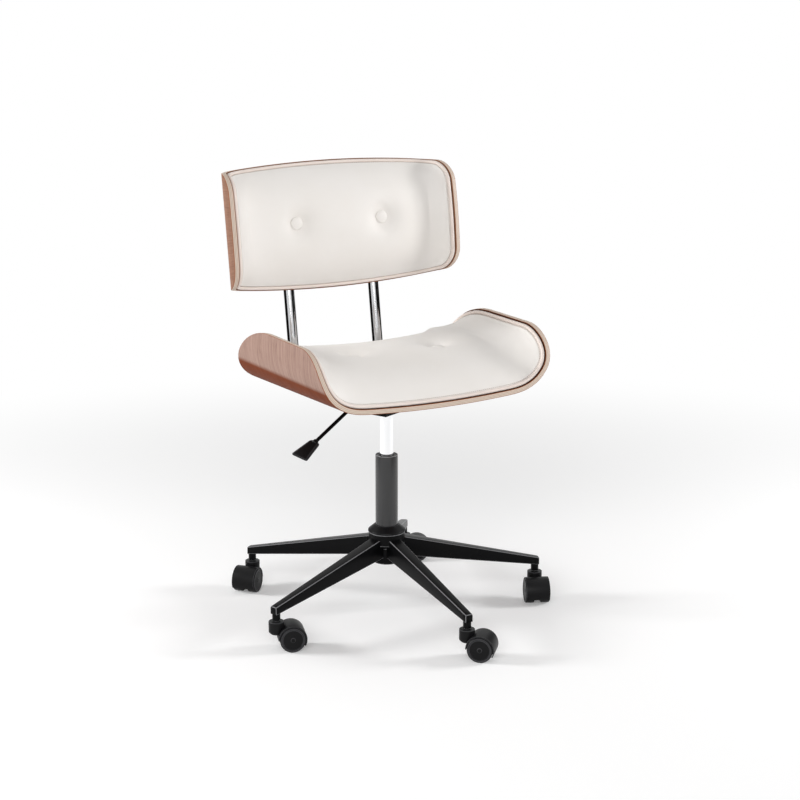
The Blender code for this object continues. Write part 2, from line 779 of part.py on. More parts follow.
def hood_mesh():
    """A castor hood, its stem axis at the origin and its axle out along +X."""
    axle = Vector((CASTOR_TRAIL, 0, axle_height()))
    inner = WHEEL_R + HOOD_CLEAR
    drum = bar(inner + HOOD_WALL, HOOD_WIDTH, axle, (0, 1, 0), HOOD_SIDES)
    web = WHEEL_GAP / 2 - WEB_CLEAR
    pocket = HOOD_WIDTH
    pockets = []
    for side in (-1, 1):
        centre = axle + Vector((0, side * (web + pocket / 2), 0))
        pockets.append(bar(inner, pocket, centre, (0, 1, 0), HOOD_SIDES))
    below = 4 * WHEEL_R
    lower = box((below,) * 3, axle + Vector((0, 0, HOOD_EDGE_Z - axle_height() - below / 2)))
    foot = BOSS_TOP - BOSS_HEIGHT
    boss = turned([(0, BOSS_TOP), (BOSS_R - CHAMFER, BOSS_TOP), (BOSS_R, BOSS_TOP - CHAMFER),
                   (BOSS_R, foot), (BOSS_R - BOSS_TAPER, foot - BOSS_TAPER),
                   (0, foot - BOSS_TAPER)], SMALL_SIDES)
    shell = cut(joined(drum, boss), gathered(pockets), lower)
    hub = bar(AXLE_BOSS_R, web * 2, axle, (0, 1, 0), SMALL_SIDES)
    stem_hole = bar(STEM_LOW_R + BORE_CLEAR, BOSS_TOP, (0, 0, STEM_FOOT - FIT + BOSS_TOP / 2),
                    (0, 0, 1), PIN_SIDES)
    axle_hole = bar(AXLE_R + BORE_CLEAR, HOOD_WIDTH, axle, (0, 1, 0), PIN_SIDES)
    return cut(joined(shell, hub), stem_hole, axle_hole)


def axle_height():
    """Height at which a flat of each faceted wheel rests on the floor."""
    return WHEEL_R * math.cos(math.pi / ROUND_SIDES)


def wheel_mesh():
    """A wheel about Z, its origin on the castor's middle plane and its face outward."""
    inner = WHEEL_GAP / 2
    outer = inner + WHEEL_WIDTH
    bore = AXLE_R + BORE_CLEAR
    return turned([(0, outer - WHEEL_DISH), (WHEEL_R - WHEEL_RIM, outer), (WHEEL_R, outer - WHEEL_RIM),
                   (WHEEL_R, inner), (bore, inner), (bore, outer - AXLE_ROOM),
                   (0, outer - AXLE_ROOM)], ROUND_SIDES)


def build_castors(root):
    hood = hood_mesh()
    wheel = wheel_mesh()
    axle = bar(AXLE_R, WHEEL_GAP + 2 * (WHEEL_WIDTH - AXLE_END), (0, 0, 0), (0, 0, 1), PIN_SIDES)
    facet = math.pi / ROUND_SIDES
    for number, (spot, heading) in enumerate(zip(stem_spots(), CASTOR_HEADINGS), start=1):
        swivel = empty(f"castor_{number}_swivel", spot, heading, root)
        centre = (CASTOR_TRAIL, 0, axle_height())
        piece(f"castor_{number}_hood", hood, BLACK_PLASTIC, swivel)
        piece(f"castor_{number}_axle", axle, BRIGHT_STEEL, swivel, centre, (math.pi / 2, 0, 0))
        piece(f"castor_{number}_wheel_left", wheel, BLACK_PLASTIC, swivel, centre,
              (-math.pi / 2, facet, 0))
        piece(f"castor_{number}_wheel_right", wheel, BLACK_PLASTIC, swivel, centre,
              (math.pi / 2, facet, 0))


# Seat and back


def bolt_mesh(head_top):
    """A hexagon bolt screwed in its tee nut, whose flange lies on the ply's inner face."""
    flange = PLY + FIT
    top = flange + NUT_FLANGE
    return turned([(0, top), (NUT_FLANGE_R, top), (NUT_FLANGE_R, flange), (NUT_BARREL_R, flange),
                   (NUT_BARREL_R, NUT_FOOT), (BOLT_R, NUT_FOOT), (BOLT_R, head_top),
                   (BOLT_HEAD_R, head_top), (BOLT_HEAD_R, head_top - BOLT_HEAD),
                   (0, head_top - BOLT_HEAD)], BOLT_SIDES)


def plate_frames():
    """Frames of the plate bolts, square to the seat plate."""
    frames = []
    middle = surface_frame(seat_point, 0.0, 0.0)
    for side in (-1, 1):
        for end in (-1, 1):
            frames.append(middle @ Matrix.Translation((side * PLATE_BOLT[0], end * PLATE_BOLT[1], 0)))
    return frames


def plate_rise(reach):
    """How far the shell's outer face stands over the plate's plane at a distance."""
    x, rise, angle = section(reach, 1 / SEAT_RADIUS, SEAT_BEND_START, SEAT_BEND_END, SEAT_BEND)
    return rise


def post_frames(point, spots):
    return [surface_frame(point, side * POST_X, spot) for side in (-1, 1) for spot in spots]


def seat_nut_frames():
    return plate_frames() + post_frames(seat_point, SEAT_POST_BOLTS)


def nut_holes(frames):
    radius = NUT_BARREL_R + BORE_CLEAR
    hole = bar(radius, PLY * 3, (0, 0, PLY / 2), (0, 0, 1), PIN_SIDES)
    return copies(hole, frames)


def copies(mesh, frames):
    return gathered([moved(mesh, frame) for frame in frames])


def seat_plate():
    """The pressed plate with its pads, lift housing and taper socket, and its bolts."""
    middle = surface_frame(seat_point, 0.0, 0.0)
    width, depth, thick = SEAT_PLATE
    plate = box((width, depth, thick), (0, 0, -FIT - thick / 2))
    pad_top = plate_rise(PLATE_BOLT[0]) - FIT * 2
    pad = bar(PAD_R, pad_top + FIT + thick / 2, (0, 0, (pad_top - FIT - thick / 2) / 2), (0, 0, 1),
              SMALL_SIDES)
    plate.transform(middle)
    pads = [moved(pad, frame) for frame in plate_frames()]
    lever = Matrix.Rotation(math.radians(LEVER_HEADING), 4, "Z")
    wide, deep = HOUSING
    top = SEAT_HEIGHT - thick / 2 - FIT
    body = box((wide, deep, top - HOUSING_FOOT), (0, 0, (top + HOUSING_FOOT) / 2))
    low, high = TAPER_SOCKET
    sleeve_r = taper_radius(low) + TAPER_SOCKET_WALL
    sleeve = turned(ring(sleeve_r, TAPER_SOCKET_BORE, high, low), ROUND_SIDES)
    room_foot = HOUSING_FOOT + HOUSING_WALL
    room_top = top - thick / 2
    room = box((wide - 2 * HOUSING_WALL, deep - 2 * HOUSING_WALL, room_top - room_foot),
               (0, 0, (room_top + room_foot) / 2 - FIT))
    wide_end = taper_radius(low) + FIT
    narrow_end = taper_radius(high) + FIT
    past = HOUSING_WALL * 2
    bore = turned([(0, high + past), (narrow_end, high + past), (narrow_end, high), (wide_end, low),
                   (wide_end, low - past), (0, low - past)], ROUND_SIDES)
    reach, pivot_z = LEVER_PIVOT
    slot_wide = 2 * LEVER_ROD_R + LEVER_SLOT_ROOM
    slot_high = slot_wide + LEVER_SLOT_ROOM
    slot = box((4 * HOUSING_WALL, slot_wide, slot_high), (-wide / 2, 0, pivot_z + FIT))
    pin_hole = bar(LEVER_PIN_R + BORE_CLEAR / 2, 2 * deep, (-reach, 0, pivot_z), (0, 1, 0), PIN_SIDES)
    lift = joined(cut(body, room), sleeve)
    lift = cut(lift, bore, slot, pin_hole)
    lift.transform(lever)
    rise = plate_rise(PLATE_BOLT[0] + NUT_FLANGE_R)
    bolt = bolt_mesh(-thick - rise)
    bolts = [moved(bolt, frame @ Matrix.Translation((0, 0, rise))) for frame in plate_frames()]
    return joined(plate, *pads, lift, *bolts)


def post_path(side):
    """The centre line of a back post: under the seat, round the bend and up the back."""
    lift = -POST_R - FIT
    front = seat_point(POST_X, POST_FRONT, lift)
    rear = seat_point(POST_X, SEAT_REAR, lift)
    low = back_point(POST_X, -BACK_HALF_HEIGHT, lift)
    top = back_point(POST_X, POST_TOP, lift)
    run = (rear - front).normalized()
    climb = (top - low).normalized()
    # where the two straight lines meet, in the upright plane that holds both
    apart = low - front
    share = (apart.z * climb.y - apart.y * climb.z) / (run.z * climb.y - run.y * climb.z)
    corner = front + run * share
    turn = run.angle(climb)
    reach = POST_BEND_R * math.tan(turn / 2)
    start = corner - run * reach
    normal = (climb - run * climb.dot(run)).normalized()
    centre = start + normal * POST_BEND_R
    bend = []
    for i in range(POST_BEND_STEPS + 1):
        angle = turn * i / POST_BEND_STEPS
        bend.append(centre + (run * math.sin(angle) - normal * math.cos(angle)) * POST_BEND_R)
    points = [front] + bend + [top]
    return [Vector((side * POST_X, point.y, point.z)) for point in points]


def post_mesh(side):
    """A bent tube with its two seat bolts, and holes for its two back bolts."""
    outer = tube(post_path(side), POST_R, (POST_SIDES - 4) // 2, False, False)
    made = temporary(outer)
    wall = made.modifiers.new("wall", "SOLIDIFY")
    wall.thickness = POST_WALL
    wall.offset = -1.0
    hollow = evaluated(made)
    bolt = bolt_mesh(POST_WALL / 2 - 2 * POST_R)
    bolts = [moved(bolt, surface_frame(seat_point, side * POST_X, spot)) for spot in SEAT_POST_BOLTS]
    hole = bar(BOLT_R + BORE_CLEAR, 2.4 * POST_R, (0, 0, -POST_R - FIT), (0, 0, 1), PIN_SIDES)
    frames = [surface_frame(back_point, side * POST_X, spot) for spot in BACK_POST_BOLTS]
    return cut(joined(hollow, *bolts), copies(hole, frames))


def plug_mesh():
    """A plug in a post's end, its rim outside along +Z."""
    bore = (POST_R - POST_WALL) * math.cos(math.pi / POST_SIDES) - FIT
    top = PLUG_RIM + FIT
    return turned([(0, top), (POST_R - PLUG_RIM / 2, top), (POST_R, top - PLUG_RIM / 2), (POST_R, FIT),
                   (bore, FIT), (bore, -PLUG_DEPTH), (0, -PLUG_DEPTH)], POST_SIDES)


def plug_frame(side):
    path = post_path(side)
    turn = Vector((0, 0, 1)).rotation_difference(path[-1] - path[-2]).to_matrix().to_4x4()
    return Matrix.Translation(path[-1]) @ turn


def button_mesh():
    """A covered button, its underside at its origin."""
    return turned([(0, BUTTON_THICK), (BUTTON_R * 0.55, BUTTON_THICK * 0.85),
                   (BUTTON_R * 0.9, BUTTON_THICK * 0.5), (BUTTON_R, BUTTON_THICK * 0.15),
                   (BUTTON_R * 0.92, 0), (0, 0)], SMALL_SIDES)


def flat_stations(button, bend):
    """Distances from the middle that a shell and all its layers share."""
    marks = [button[0] - TUFT_FLAT, button[0], button[0] + TUFT_FLAT]
    return [0.0, marks[0] / 2] + marks + bend


def upholstered(name, point, make_outline, pad, inner, nut_frames, root):
    """A plywood shell with its board, cushion, welt and buttons."""
    loft, power, button, rows, ends = pad
    shell_outline = make_outline()
    shell = sheet(point, shell_outline, shell_outline.stations(inner, ends), 4, 0.0, PLY)
    piece(f"{name}_shell", cut(shell, nut_holes(nut_frames)), WALNUT, root)
    pad_outline = make_outline(BOARD_INSET)
    stations = pad_outline.stations(inner, ends)
    board_foot = PLY + BOARD_GAP
    piece(f"{name}_board", sheet(point, pad_outline, stations, 2, board_foot, BOARD), BOARD_PLY, root)
    top = cushion_top(pad_outline, loft, power, button)
    shares = pad_outline.shares(rows, [button[1] + step * TUFT_FLAT for step in (-1, 0, 1)])
    solid = cushion(point, pad_outline, stations, shares, top, board_foot + BOARD + FIT * 2)
    piece(f"{name}_cushion", solid, LEATHERETTE, root)
    welt_outline = make_outline(WELT_INSET)
    loop = outline_loop(welt_outline, welt_outline.stations(inner, ends), 4)
    route = [point(along, across, PLY + WELT_LIFT) for along, across in loop]
    piece(f"{name}_welt", tube(route, WELT_R, 1, True, False), WELT_TRIM, root)
    lift = Matrix.Translation((0, 0, top(*button) + FIT * 2))
    for label, side in (("left", 1), ("right", -1)):
        frame = surface_frame(point, side * button[0], button[1]) @ lift
        piece(f"{name}_button_{label}", moved(button_mesh(), frame), LEATHERETTE, root)


def build_seat(root):
    pad = (SEAT_LOFT, SEAT_LOFT_POWER, SEAT_BUTTON, SEAT_ROWS, END_STEPS)
    upholstered("seat", seat_point, seat_outline, pad, flat_stations(SEAT_BUTTON, SEAT_STATIONS),
                seat_nut_frames(), root)
    piece("seat_plate", seat_plate(), BLACK_STEEL, root)


def build_back(root):
    frames = post_frames(back_point, BACK_POST_BOLTS)
    pad = (BACK_LOFT, BACK_LOFT_POWER, BACK_BUTTON, BACK_ROWS, END_STEPS)
    upholstered("back", back_point, back_outline, pad, flat_stations(BACK_BUTTON, BACK_STATIONS),
                frames, root)
    bolt = bolt_mesh(-2 * POST_R - 2 * FIT)
    for number, frame in enumerate(frames, start=1):
        piece(f"back_bolt_{number}", moved(bolt, frame), BRIGHT_STEEL, root)
    for name, side in (("left", 1), ("right", -1)):
        piece(f"back_post_{name}", post_mesh(side), CHROME, root)
        piece(f"post_plug_{name}", moved(plug_mesh(), plug_frame(side)), BLACK_PLASTIC, root)


def build_lift(root):
    inner = CYLINDER_R - CYLINDER_WALL
    block = CYLINDER_TOP - VALVE_BLOCK
    valve_bore = VALVE_R + BORE_CLEAR
    cylinder = turned([(taper_radius(CYLINDER_TOP), CYLINDER_TOP),
                       (CYLINDER_R, CYLINDER_TOP - TAPER_LENGTH), (CYLINDER_R, CYLINDER_FOOT),
                       (inner, CYLINDER_FOOT), (inner, block), (valve_bore, block),
                       (valve_bore, CYLINDER_TOP)], ROUND_SIDES)
    piece("gas_cylinder", cylinder, CHROME, root)
    guide = ring(inner - FIT, ROD_R + BORE_CLEAR, GUIDE_FOOT + GUIDE_LENGTH, GUIDE_FOOT)
    piece("rod_guide", turned(guide, ROUND_SIDES), BUSH_PLASTIC, root)
    top = CYLINDER_TOP + VALVE_RISE
    valve = turned([(0, top), (VALVE_R - CHAMFER, top), (VALVE_R, top - CHAMFER),
                    (VALVE_R, top - VALVE_LENGTH), (0, top - VALVE_LENGTH)], PIN_SIDES)
    piece("valve_button", valve, BRIGHT_STEEL, root)


def lever_rod():
    """The lever's rod along -X from its pivot, with the pivot's hub and inner finger."""
    slope_angle = math.radians(LEVER_SLOPE)
    reach = LEVER_PIVOT[0]
    start = Vector((reach + VALVE_R - CHAMFER, 0, 0))
    bend_at = Vector((-(LEVER_BEND_AT - reach), 0, 0))
    along = Vector((-math.cos(slope_angle), 0, -math.sin(slope_angle)))
    length = (LEVER_PADDLE_AT - LEVER_BEND_AT) / math.cos(slope_angle)
    before = bend_at + Vector((LEVER_BEND_REACH, 0, 0))
    after = bend_at + along * LEVER_BEND_REACH
    middle = (before + after + 2 * bend_at) / 4
    points = [start, before, middle, after, bend_at + along * (length + LEVER_ROD_IN_PADDLE)]
    rod = tube(points, LEVER_ROD_R, 3, False, True)
    hub = bar(LEVER_HUB_R, LEVER_HUB_WIDTH, (0, 0, 0), (0, 1, 0), PIN_SIDES)
    finger_foot = CYLINDER_TOP + VALVE_RISE + LEVER_LIFT_GAP - LEVER_PIVOT[1]
    below = 4 * LEVER_HUB_R
    trim = box((2 * reach, below, below), (reach + LEVER_HUB_R, 0, finger_foot - below / 2))
    hole = bar(LEVER_PIN_R + BORE_CLEAR, 2 * LEVER_HUB_WIDTH, (0, 0, 0), (0, 1, 0), PIN_SIDES)
    return cut(joined(rod, hub), trim, hole), along


def paddle_mesh(along):
    """A flat paddle that widens outwards, over the end of the rod."""
    length, narrow, wide, thick = LEVER_PADDLE
    shape = bmesh.new()
    bmesh.ops.create_cube(shape, size=2.0)
    for vert in shape.verts:
        outer = vert.co.x > 0
        width = wide if outer else narrow
        depth = thick * PADDLE_THIN if outer else thick
        vert.co = (length if outer else 0.0, math.copysign(width / 2, vert.co.y),
                   math.copysign(depth / 2, vert.co.z))
    bmesh.ops.bevel(shape, geom=shape.edges[:], offset=PADDLE_EDGE, segments=1, affect="EDGES")
    mesh = bpy.data.meshes.new("paddle")
    shape.to_mesh(mesh)
    shape.free()
    slope_angle = math.radians(LEVER_SLOPE)
    reach = LEVER_PIVOT[0]
    bend_at = Vector((-(LEVER_BEND_AT - reach), 0, 0))
    start = bend_at + along * ((LEVER_PADDLE_AT - LEVER_BEND_AT) / math.cos(slope_angle))
    side = Vector((0, -1, 0))
    up = along.cross(side)
    frame = Matrix.Translation(start) @ Matrix((along, side, up)).transposed().to_4x4()
    mesh.transform(frame @ Matrix.Rotation(math.radians(LEVER_PADDLE_ROLL), 4, "X"))
    return cut(mesh, bar(LEVER_ROD_R + FIT, 2 * PADDLE_SOCKET, start, along, PIN_SIDES))


def build_lever(root):
    frame = empty("lever_heading", (0, 0, 0), LEVER_HEADING, root)
    pivot = (-LEVER_PIVOT[0], 0, LEVER_PIVOT[1])
    rod, along = lever_rod()
    piece("lever_rod", rod, BLACK_STEEL, frame, pivot)
    piece("lever_paddle", paddle_mesh(along), BLACK_PLASTIC, frame, pivot)
    pin = bar(LEVER_PIN_R, HOUSING[1] + 2 * LEVER_PIN_PROUD, (0, 0, 0), (0, 1, 0), PIN_SIDES)
    piece("lever_pivot_pin", pin, BRIGHT_STEEL, frame, pivot)


def main():
    root = empty("column_axis", (0, COLUMN_Y, 0))
    build_base(root)
    build_rod(root)
    build_castors(root)
    build_lift(root)
    build_seat(root)
    build_back(root)
    build_lever(root)


main()
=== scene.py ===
# %% [markdown]
# # A swivel office chair
# The chair has a plywood seat and a plywood back, both bent up at their sides and both
# padded. A gas spring carries the seat on a five-armed base with castors. We load the
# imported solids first, since they fix every size and every joint, and dress them piece by
# piece.

# %% Load the frame
import json
import math

import bmesh
import bpy
import numpy as np
from mathutils import Matrix, Vector
from mathutils.bvhtree import BVHTree

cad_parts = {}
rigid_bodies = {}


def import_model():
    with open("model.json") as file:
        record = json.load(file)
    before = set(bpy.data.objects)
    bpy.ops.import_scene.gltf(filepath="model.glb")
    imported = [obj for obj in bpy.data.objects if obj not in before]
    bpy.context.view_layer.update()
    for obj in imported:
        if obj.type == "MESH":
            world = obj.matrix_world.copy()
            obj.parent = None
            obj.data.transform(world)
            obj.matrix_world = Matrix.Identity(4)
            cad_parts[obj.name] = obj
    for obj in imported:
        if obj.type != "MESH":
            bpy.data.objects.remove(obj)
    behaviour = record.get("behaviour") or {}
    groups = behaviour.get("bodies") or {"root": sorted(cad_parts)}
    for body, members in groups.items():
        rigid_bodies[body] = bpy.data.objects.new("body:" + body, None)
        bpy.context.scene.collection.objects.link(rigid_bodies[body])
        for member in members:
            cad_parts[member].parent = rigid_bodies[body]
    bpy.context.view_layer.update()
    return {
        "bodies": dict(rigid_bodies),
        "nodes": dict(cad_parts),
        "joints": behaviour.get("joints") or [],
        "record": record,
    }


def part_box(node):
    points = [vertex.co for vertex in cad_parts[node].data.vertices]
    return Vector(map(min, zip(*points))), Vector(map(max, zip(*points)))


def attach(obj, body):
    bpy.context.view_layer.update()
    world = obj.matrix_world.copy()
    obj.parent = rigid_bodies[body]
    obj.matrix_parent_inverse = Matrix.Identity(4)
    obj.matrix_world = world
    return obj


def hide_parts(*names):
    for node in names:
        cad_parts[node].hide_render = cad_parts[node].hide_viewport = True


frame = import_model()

scene = bpy.context.scene

# %% [markdown]
# ## The camera
# The picture is taken from the sitter's right, a little above the seat, with a long lens
# that keeps the upright lines nearly parallel. The column's axis stands behind the middle
# of the chair, so each place that is measured from that axis is moved by COLUMN.

# %% Place the camera
COLUMN = Vector((0, 0.0474, 0))


def linked(name, contents):
    """A new object in the scene."""
    made = bpy.data.objects.new(name, contents)
    scene.collection.objects.link(made)
    return made


CAMERA_PLACE = (-1.7249, -3.0428, 1.3130)
CAMERA_TILT, CAMERA_HEADING = 76.04, -29.6
lens = bpy.data.cameras.new("camera")
lens.lens, lens.sensor_width = 83.25, 36
camera = linked("camera", lens)
camera.location = CAMERA_PLACE
camera.rotation_euler = (math.radians(CAMERA_TILT), 0, math.radians(CAMERA_HEADING))
scene.camera = camera
scene.view_settings.view_transform = "Standard"
print("camera", lens.lens, "mm")

# %% [markdown]
# ## Shared surface effects
# Leather grain, wood grain and the fine unevenness of paint return in several finishes.
# Each is built once as a node group with named inputs, so one change reaches them all.
# The groups give values only, and each material keeps its own shader.

# %% Helpers for node groups
FLOAT, VECTOR = "NodeSocketFloat", "NodeSocketVector"


def new_tree(kind, name, inputs, outputs):
    """An empty node group; its sockets are given by label, type and, for inputs, value."""
    tree = bpy.data.node_groups.new(name, kind)
    for label, socket_type, value in inputs:
        socket = tree.interface.new_socket(label, in_out="INPUT", socket_type=socket_type)
        if value is not None:
            socket.default_value = value
    for label, socket_type in outputs:
        tree.interface.new_socket(label, in_out="OUTPUT", socket_type=socket_type)
    return tree, tree.nodes.new("NodeGroupInput"), tree.nodes.new("NodeGroupOutput")


def surface_group(name, inputs, outputs):
    """A shader node group that turns a place on a surface into numbers."""
    return new_tree("ShaderNodeTree", name, [("Place", VECTOR, None)] + inputs,
                    [(label, FLOAT) for label in outputs])


def feed(tree, node, **inputs):
    """Fill a node's inputs; each takes a value or the socket that feeds it."""
    for name, value in inputs.items():
        target = node.inputs[int(name[1:]) if name[1:].isdigit() else name.replace("_", " ")]
        if isinstance(value, bpy.types.NodeSocket):
            tree.links.new(value, target)
        else:
            target.default_value = value
    return node


def put(tree, kind, settings=None, **inputs):
    """Add a node and fill its inputs."""
    node = tree.nodes.new(kind)
    for name, value in (settings or {}).items():
        setattr(node, name, value)
    return feed(tree, node, **inputs)


def got(tree, kind, settings=None, **inputs):
    """The first output of a new node."""
    return put(tree, kind, settings, **inputs).outputs[0]


def maths(tree, operation, first, second=0.0):
    return got(tree, "ShaderNodeMath", {"operation": operation}, i0=first, i1=second)


def noise(tree, place, scale, **more):
    return got(tree, "ShaderNodeTexNoise", Vector=place, Scale=scale, **more)


# %% Leather grain, wood grain and uneven paint
tree, gate, out = surface_group("leather_grain", [("Pebbles", FLOAT, 900.0)], ["Height", "Tone"])
leather_grain, place = tree, gate.outputs["Place"]
cells = put(tree, "ShaderNodeTexVoronoi", {"feature": "DISTANCE_TO_EDGE"}, Vector=place,
            Scale=gate.outputs["Pebbles"])
folds = noise(tree, place, 55.0, Detail=4.0, Roughness=0.6)
blotch = noise(tree, place, 9.0, Detail=3.0)
pebble = maths(tree, "MINIMUM", maths(tree, "MULTIPLY", cells.outputs["Distance"], 4.0), 1.0)
height = maths(tree, "ADD", maths(tree, "MULTIPLY", pebble, 0.6), maths(tree, "MULTIPLY", folds, 0.5))
feed(tree, out, Height=height, Tone=blotch)

tree, gate, out = surface_group("wood_grain", [("Lines", FLOAT, 260.0), ("Stretch", FLOAT, 0.03)],
                                ["Grain", "Pores", "Figure"])
wood_grain, fineness = tree, gate.outputs["Lines"]
split = put(tree, "ShaderNodeSeparateXYZ", Vector=gate.outputs["Place"]).outputs
drawn = got(tree, "ShaderNodeCombineXYZ", X=maths(tree, "MULTIPLY", split["X"], gate.outputs["Stretch"]),
            Y=split["Y"], Z=split["Z"])
lines = noise(tree, drawn, fineness, Detail=5.0, Roughness=0.65, Distortion=0.4)
pores = noise(tree, drawn, maths(tree, "MULTIPLY", fineness, 4.0), Detail=2.0)
figure = noise(tree, drawn, maths(tree, "MULTIPLY", fineness, 0.13), Detail=3.0, Distortion=1.2)
feed(tree, out, Grain=lines, Pores=maths(tree, "GREATER_THAN", pores, 0.62), Figure=figure)

tree, gate, out = surface_group("uneven_paint", [("Fineness", FLOAT, 700.0)], ["Height", "Smudge"])
uneven_paint, place = tree, gate.outputs["Place"]
peel = noise(tree, place, gate.outputs["Fineness"], Detail=2.0)
smudge = noise(tree, place, 14.0, Detail=5.0, Roughness=0.6)
feed(tree, out, Height=peel, Smudge=smudge)
print("node groups", len(bpy.data.node_groups))

# %% [markdown]
# ## Finishes
# Paint, moulded plastic, chrome and zinc differ in colour, gloss and metal. They share
# one maker, which spreads the roughness a little and adds a fine relief. A surface
# without that unevenness looks like a computer's idea of plastic.

# %% Hard finishes


def linear(red, green, blue):
    """A screen colour from 0 to 255, as the linear colour that the shader wants."""
    parts = [value / 255 for value in (red, green, blue)]
    return tuple(p / 12.92 if p <= 0.04045 else ((p + 0.055) / 1.055) ** 2.4 for p in parts) + (1.0,)


def new_finish(name):
    made = bpy.data.materials.new(name)
    made.use_nodes = True
    return made, made.node_tree, made.node_tree.nodes["Principled BSDF"]


def ranged(tree, value, low, high):
    """A value from 0 to 1 spread between two others."""
    return got(tree, "ShaderNodeMapRange", Value=value, To_Min=low, To_Max=high)


def mixed(tree, factor, first, second):
    """Two colours, or the sockets that give them, mixed by a factor."""
    return put(tree, "ShaderNodeMix", {"data_type": "RGBA"}, i0=factor, i6=first, i7=second).outputs[2]


def relief(tree, height, depth):
    return put(tree, "ShaderNodeBump", Height=height, Distance=depth, Strength=1.0).outputs["Normal"]


def on_object(tree, group, **inputs):
    """What a shared group gives for the place on the object."""
    place = put(tree, "ShaderNodeTexCoord").outputs["Object"]
    return put(tree, "ShaderNodeGroup", {"node_tree": group}, Place=place, **inputs).outputs


def hard_finish(name, dark, light, rough, metal=0.0, depth=0.00002, fineness=700.0, gloss=0.5, edge_highlight=None):
    """A grey from dark to light (0 to 255); the optional last grey is a painted highlight on narrow rounded
    edges.
    """
    made, tree, shader = new_finish(name)
    paint = on_object(tree, uneven_paint, Fineness=fineness)
    colour = mixed(tree, paint["Smudge"], linear(*dark), linear(*light))
    # Marked narrow edges take a lighter grey: a painted highlight in place of the lamps' glints.
    if edge_highlight:
        edge = put(tree, "ShaderNodeAttribute", {"attribute_name": "painted_highlight"}).outputs["Fac"]
        colour = mixed(tree, edge, colour, linear(*edge_highlight))
    feed(tree, shader, Base_Color=colour, Roughness=ranged(tree, paint["Smudge"], *rough), Metallic=metal,
         Specular_IOR_Level=gloss, Normal=relief(tree, paint["Height"], depth))
    return made


# Each black finish's last grey is its painted edge highlight.
black_paint = hard_finish("black_paint", (9, 9, 10), (14, 14, 15), (0.24, 0.34), gloss=0.07,
                          edge_highlight=(116, 116, 118))
black_plastic = hard_finish("black_plastic", (14, 14, 15), (21, 21, 22), (0.34, 0.46), gloss=0.12,
                            depth=0.00004, fineness=1500.0, edge_highlight=(58, 58, 60))
tube_paint = hard_finish("tube_paint", (36, 36, 37), (45, 45, 46), (0.16, 0.24), gloss=0.55,
                         edge_highlight=(150, 150, 152))
acetal = hard_finish("acetal", (30, 30, 31), (40, 40, 41), (0.4, 0.5))
chrome = hard_finish("chrome", (243, 244, 245), (249, 249, 250), (0.04, 0.09), 1.0, 0.000002)
tube_chrome = hard_finish("tube_chrome", (196, 197, 199), (206, 207, 209), (0.05, 0.11), 1.0, 0.000002)
zinc = hard_finish("zinc", (176, 178, 182), (198, 199, 202), (0.26, 0.38), 1.0)
rubber = hard_finish("rubber", (28, 28, 28), (38, 38, 38), (0.7, 0.85), depth=0.00006)
print("hard finishes made")

# %% [markdown]
# The cover is a coated cloth stamped with a fine leather grain. Its colour barely
# changes, so the life comes from shallow pebbles, soft folds and a gloss that differs a
# little from place to place. The piping is cut from the same cloth.

# %% Leatherette


def leatherette(name, pale, deep):
    made, tree, shader = new_finish(name)
    grain = on_object(tree, leather_grain)
    tone = ranged(tree, grain["Tone"], -0.3, 1.0)
    feed(tree, shader, Base_Color=mixed(tree, tone, linear(*pale), linear(*deep)),
         Roughness=ranged(tree, grain["Height"], 0.56, 0.44), Specular_IOR_Level=0.35, Sheen_Weight=0.05,
         Normal=relief(tree, grain["Height"], 0.00012))
    return made


cover = leatherette("cream_cover", (240, 236, 232), (234, 229, 223))
piping = leatherette("piping", (238, 226, 218), (230, 215, 206))
thread = leatherette("thread", (196, 188, 180), (186, 176, 168))
print("cover, piping and thread")

# %% [markdown]
# The shells are veneered plywood. Each fine grid stores how far along the bent section
# and how far across the sheet a point lies, in metres, as its UV map. Grain on those
# numbers follows the bend as real veneer does. The veneer's colour changes between a
# sheet's middle and its wings over a short reach of the bend. On the seat shell this
# change is painted light and shade: the pale wings are a painted reflection of a lamp,
# and the deep brown where the sheet curls under is painted shade.

# %% Walnut veneer, ply edge and bare plywood
PLY = 0.010
FACE_VENEER = 0.0011
GRAIN_SHARE, FIGURE_SHARE, PORE_SHARE = 0.75, 0.35, 0.3


def on_sheet(tree, lines, stretch):
    """The wood grain at a place on the flat sheet, and that place's two distances."""
    flat = put(tree, "ShaderNodeUVMap", {"uv_map": "sheet"}).outputs["UV"]
    grain = put(tree, "ShaderNodeGroup", {"node_tree": wood_grain}, Place=flat, Lines=lines, Stretch=stretch)
    return grain.outputs, put(tree, "ShaderNodeSeparateXYZ", Vector=flat).outputs


def veneer(name, wings, middle, dark_line, change):
    """Walnut whose colour changes between two distances from the sheet's middle. On the seat shell the two
    colours are painted light and shade.
    """
    made, tree, shader = new_finish(name)
    grain, place = on_sheet(tree, 300.0, 0.035)
    wing = got(tree, "ShaderNodeMapRange", {"interpolation_type": "SMOOTHSTEP"},
               Value=maths(tree, "ABSOLUTE", place["X"]), From_Min=change[0], From_Max=change[1])
    colour = mixed(tree, wing, linear(*middle), linear(*wings))
    for mask, share in ((ranged(tree, grain["Grain"], -0.35, 1.0), GRAIN_SHARE),
                        (grain["Figure"], FIGURE_SHARE), (grain["Pores"], PORE_SHARE)):
        colour = mixed(tree, maths(tree, "MULTIPLY", mask, share), colour, linear(*dark_line))
    feed(tree, shader, Base_Color=colour, Roughness=ranged(tree, grain["Grain"], 0.42, 0.56),
         Specular_IOR_Level=0.02, Normal=relief(tree, grain["Grain"], 0.00003))
    return made


